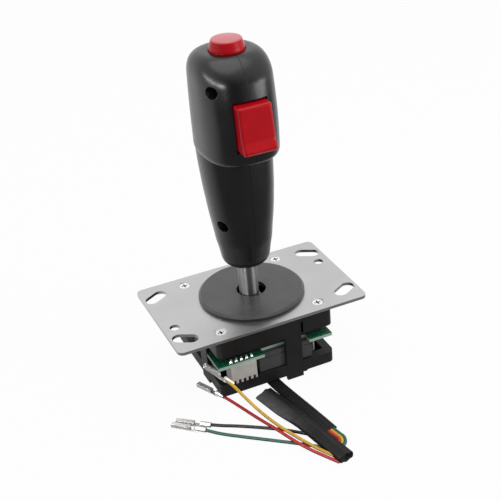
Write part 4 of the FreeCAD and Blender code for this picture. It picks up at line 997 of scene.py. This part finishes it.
class FLIGHTSTICK_OT_board(bpy.types.Operator):
    """Finish of the circuit board, header and switches, and the solder on the board."""

    bl_idname = "flight_stick.board"
    bl_label = "Board and switches"

    def execute(self, context):
        base = context.scene.flight_stick_base
        metals = context.scene.flight_stick_metal
        sides = ("front", "right", "back", "left")
        dress(board_finish(base), "switch_board")
        dress(
            moulded("Header Nylon", base.nylon, rough=0.5, grain=0.0005, depth=0.00002, edge_pale=1.1),
            "header_shell",
        )
        dress(
            moulded("Switch Grey", base.switch, rough=0.5, grain=0.0005, depth=0.00002, edge_pale=1.5),
            *(f"switch_{side}" for side in sides),
        )
        dress(
            moulded("Base Plunger Red", base.plunger, rough=0.35),
            *(f"plunger_{side}" for side in sides),
        )
        pins = metal("Pin Tin", metals.tin, rough=(0.2, 0.4), lines=(800, 800, 800))
        dress(pins, "header_pins", "switch_terminals")
        self.solder(metals)
        return {"FINISHED"}

    def solder(self, metals):
        """A fillet of solder round each header pin.

        Over a height of 1.3 mm its radius falls from the pad's to the pin's as (1 - s)^2.
        """
        pin, pad_beyond_pin, height = 0.00034, 0.00066, 0.0013
        s = np.linspace(0, 1, 10)
        radius, rise = pin + pad_beyond_pin * (1 - s) ** 2, height * s
        profile = np.r_[[(0, 0)], np.c_[radius, rise], [(0, height)]]
        low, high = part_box("header_pins")
        board_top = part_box("switch_board")[1].z
        row, middle = np.linspace(low.x, high.x, HEADER_PINS), (low.y + high.y) / 2
        cones = np.stack([turned_points(profile, (x, middle, board_top)) for x in row])
        _, rings, around, _ = cones.shape
        starts = np.arange(HEADER_PINS)[:, None, None] * rings * around
        faces = (grid_faces(rings, around)[None] + starts).reshape(-1, 4)
        shiny = metal(
            "Solder", metals.tin, rough=(0.12, 0.3), lines=(700, 700, 700), depth=0.00002
        )
        mesh_piece("header_solder", cones, faces, shiny)


class FLIGHTSTICK_PT_panel(bpy.types.Panel):
    """Lists the steps and the settings."""

    bl_idname = "FLIGHTSTICK_PT_panel"
    bl_label = "Flight Stick"
    bl_space_type = "VIEW_3D"
    bl_region_type = "UI"
    bl_category = "Flight Stick"

    def draw(self, context):
        for step in STEPS:
            self.layout.operator(step.bl_idname)
        for name, group in SETTINGS.items():
            column = self.layout.column(heading=group.__doc__)
            for key in group.__annotations__:
                column.prop(getattr(context.scene, name), key)


SETTINGS = {
    "flight_stick_studio": StudioSettings,
    "flight_stick_lead": LeadSettings,
    "flight_stick_grip": GripSettings,
    "flight_stick_metal": MetalSettings,
    "flight_stick_base": BaseSettings,
}
# The lead takes its strands' finishes from the wires, so the wires come first.
STEPS = (
    FLIGHTSTICK_OT_stage,
    FLIGHTSTICK_OT_wires,
    FLIGHTSTICK_OT_lead,
    FLIGHTSTICK_OT_grip,
    FLIGHTSTICK_OT_controls,
    FLIGHTSTICK_OT_shaft,
    FLIGHTSTICK_OT_plate,
    FLIGHTSTICK_OT_base,
    FLIGHTSTICK_OT_board,
)


def register():
    """Registers settings, operators and panel."""
    for item in (*SETTINGS.values(), *STEPS, FLIGHTSTICK_PT_panel):
        bpy.utils.register_class(item)
    for name, group in SETTINGS.items():
        setattr(bpy.types.Scene, name, PointerProperty(type=group))


def unregister():
    """Takes everything out again."""
    for name in SETTINGS:
        delattr(bpy.types.Scene, name)
    for item in (FLIGHTSTICK_PT_panel, *reversed(STEPS), *reversed(SETTINGS.values())):
        bpy.utils.unregister_class(item)


def main():
    """Dresses the whole object, and writes the box of the solids and of the dressed model."""
    register()
    bpy.ops.flight_stick.stage()
    bpy.ops.flight_stick.wires()
    bpy.ops.flight_stick.lead()
    bpy.ops.flight_stick.grip()
    bpy.ops.flight_stick.controls()
    bpy.ops.flight_stick.shaft()
    bpy.ops.flight_stick.plate()
    bpy.ops.flight_stick.base()
    bpy.ops.flight_stick.board()


if __name__ == "__main__":
    main()
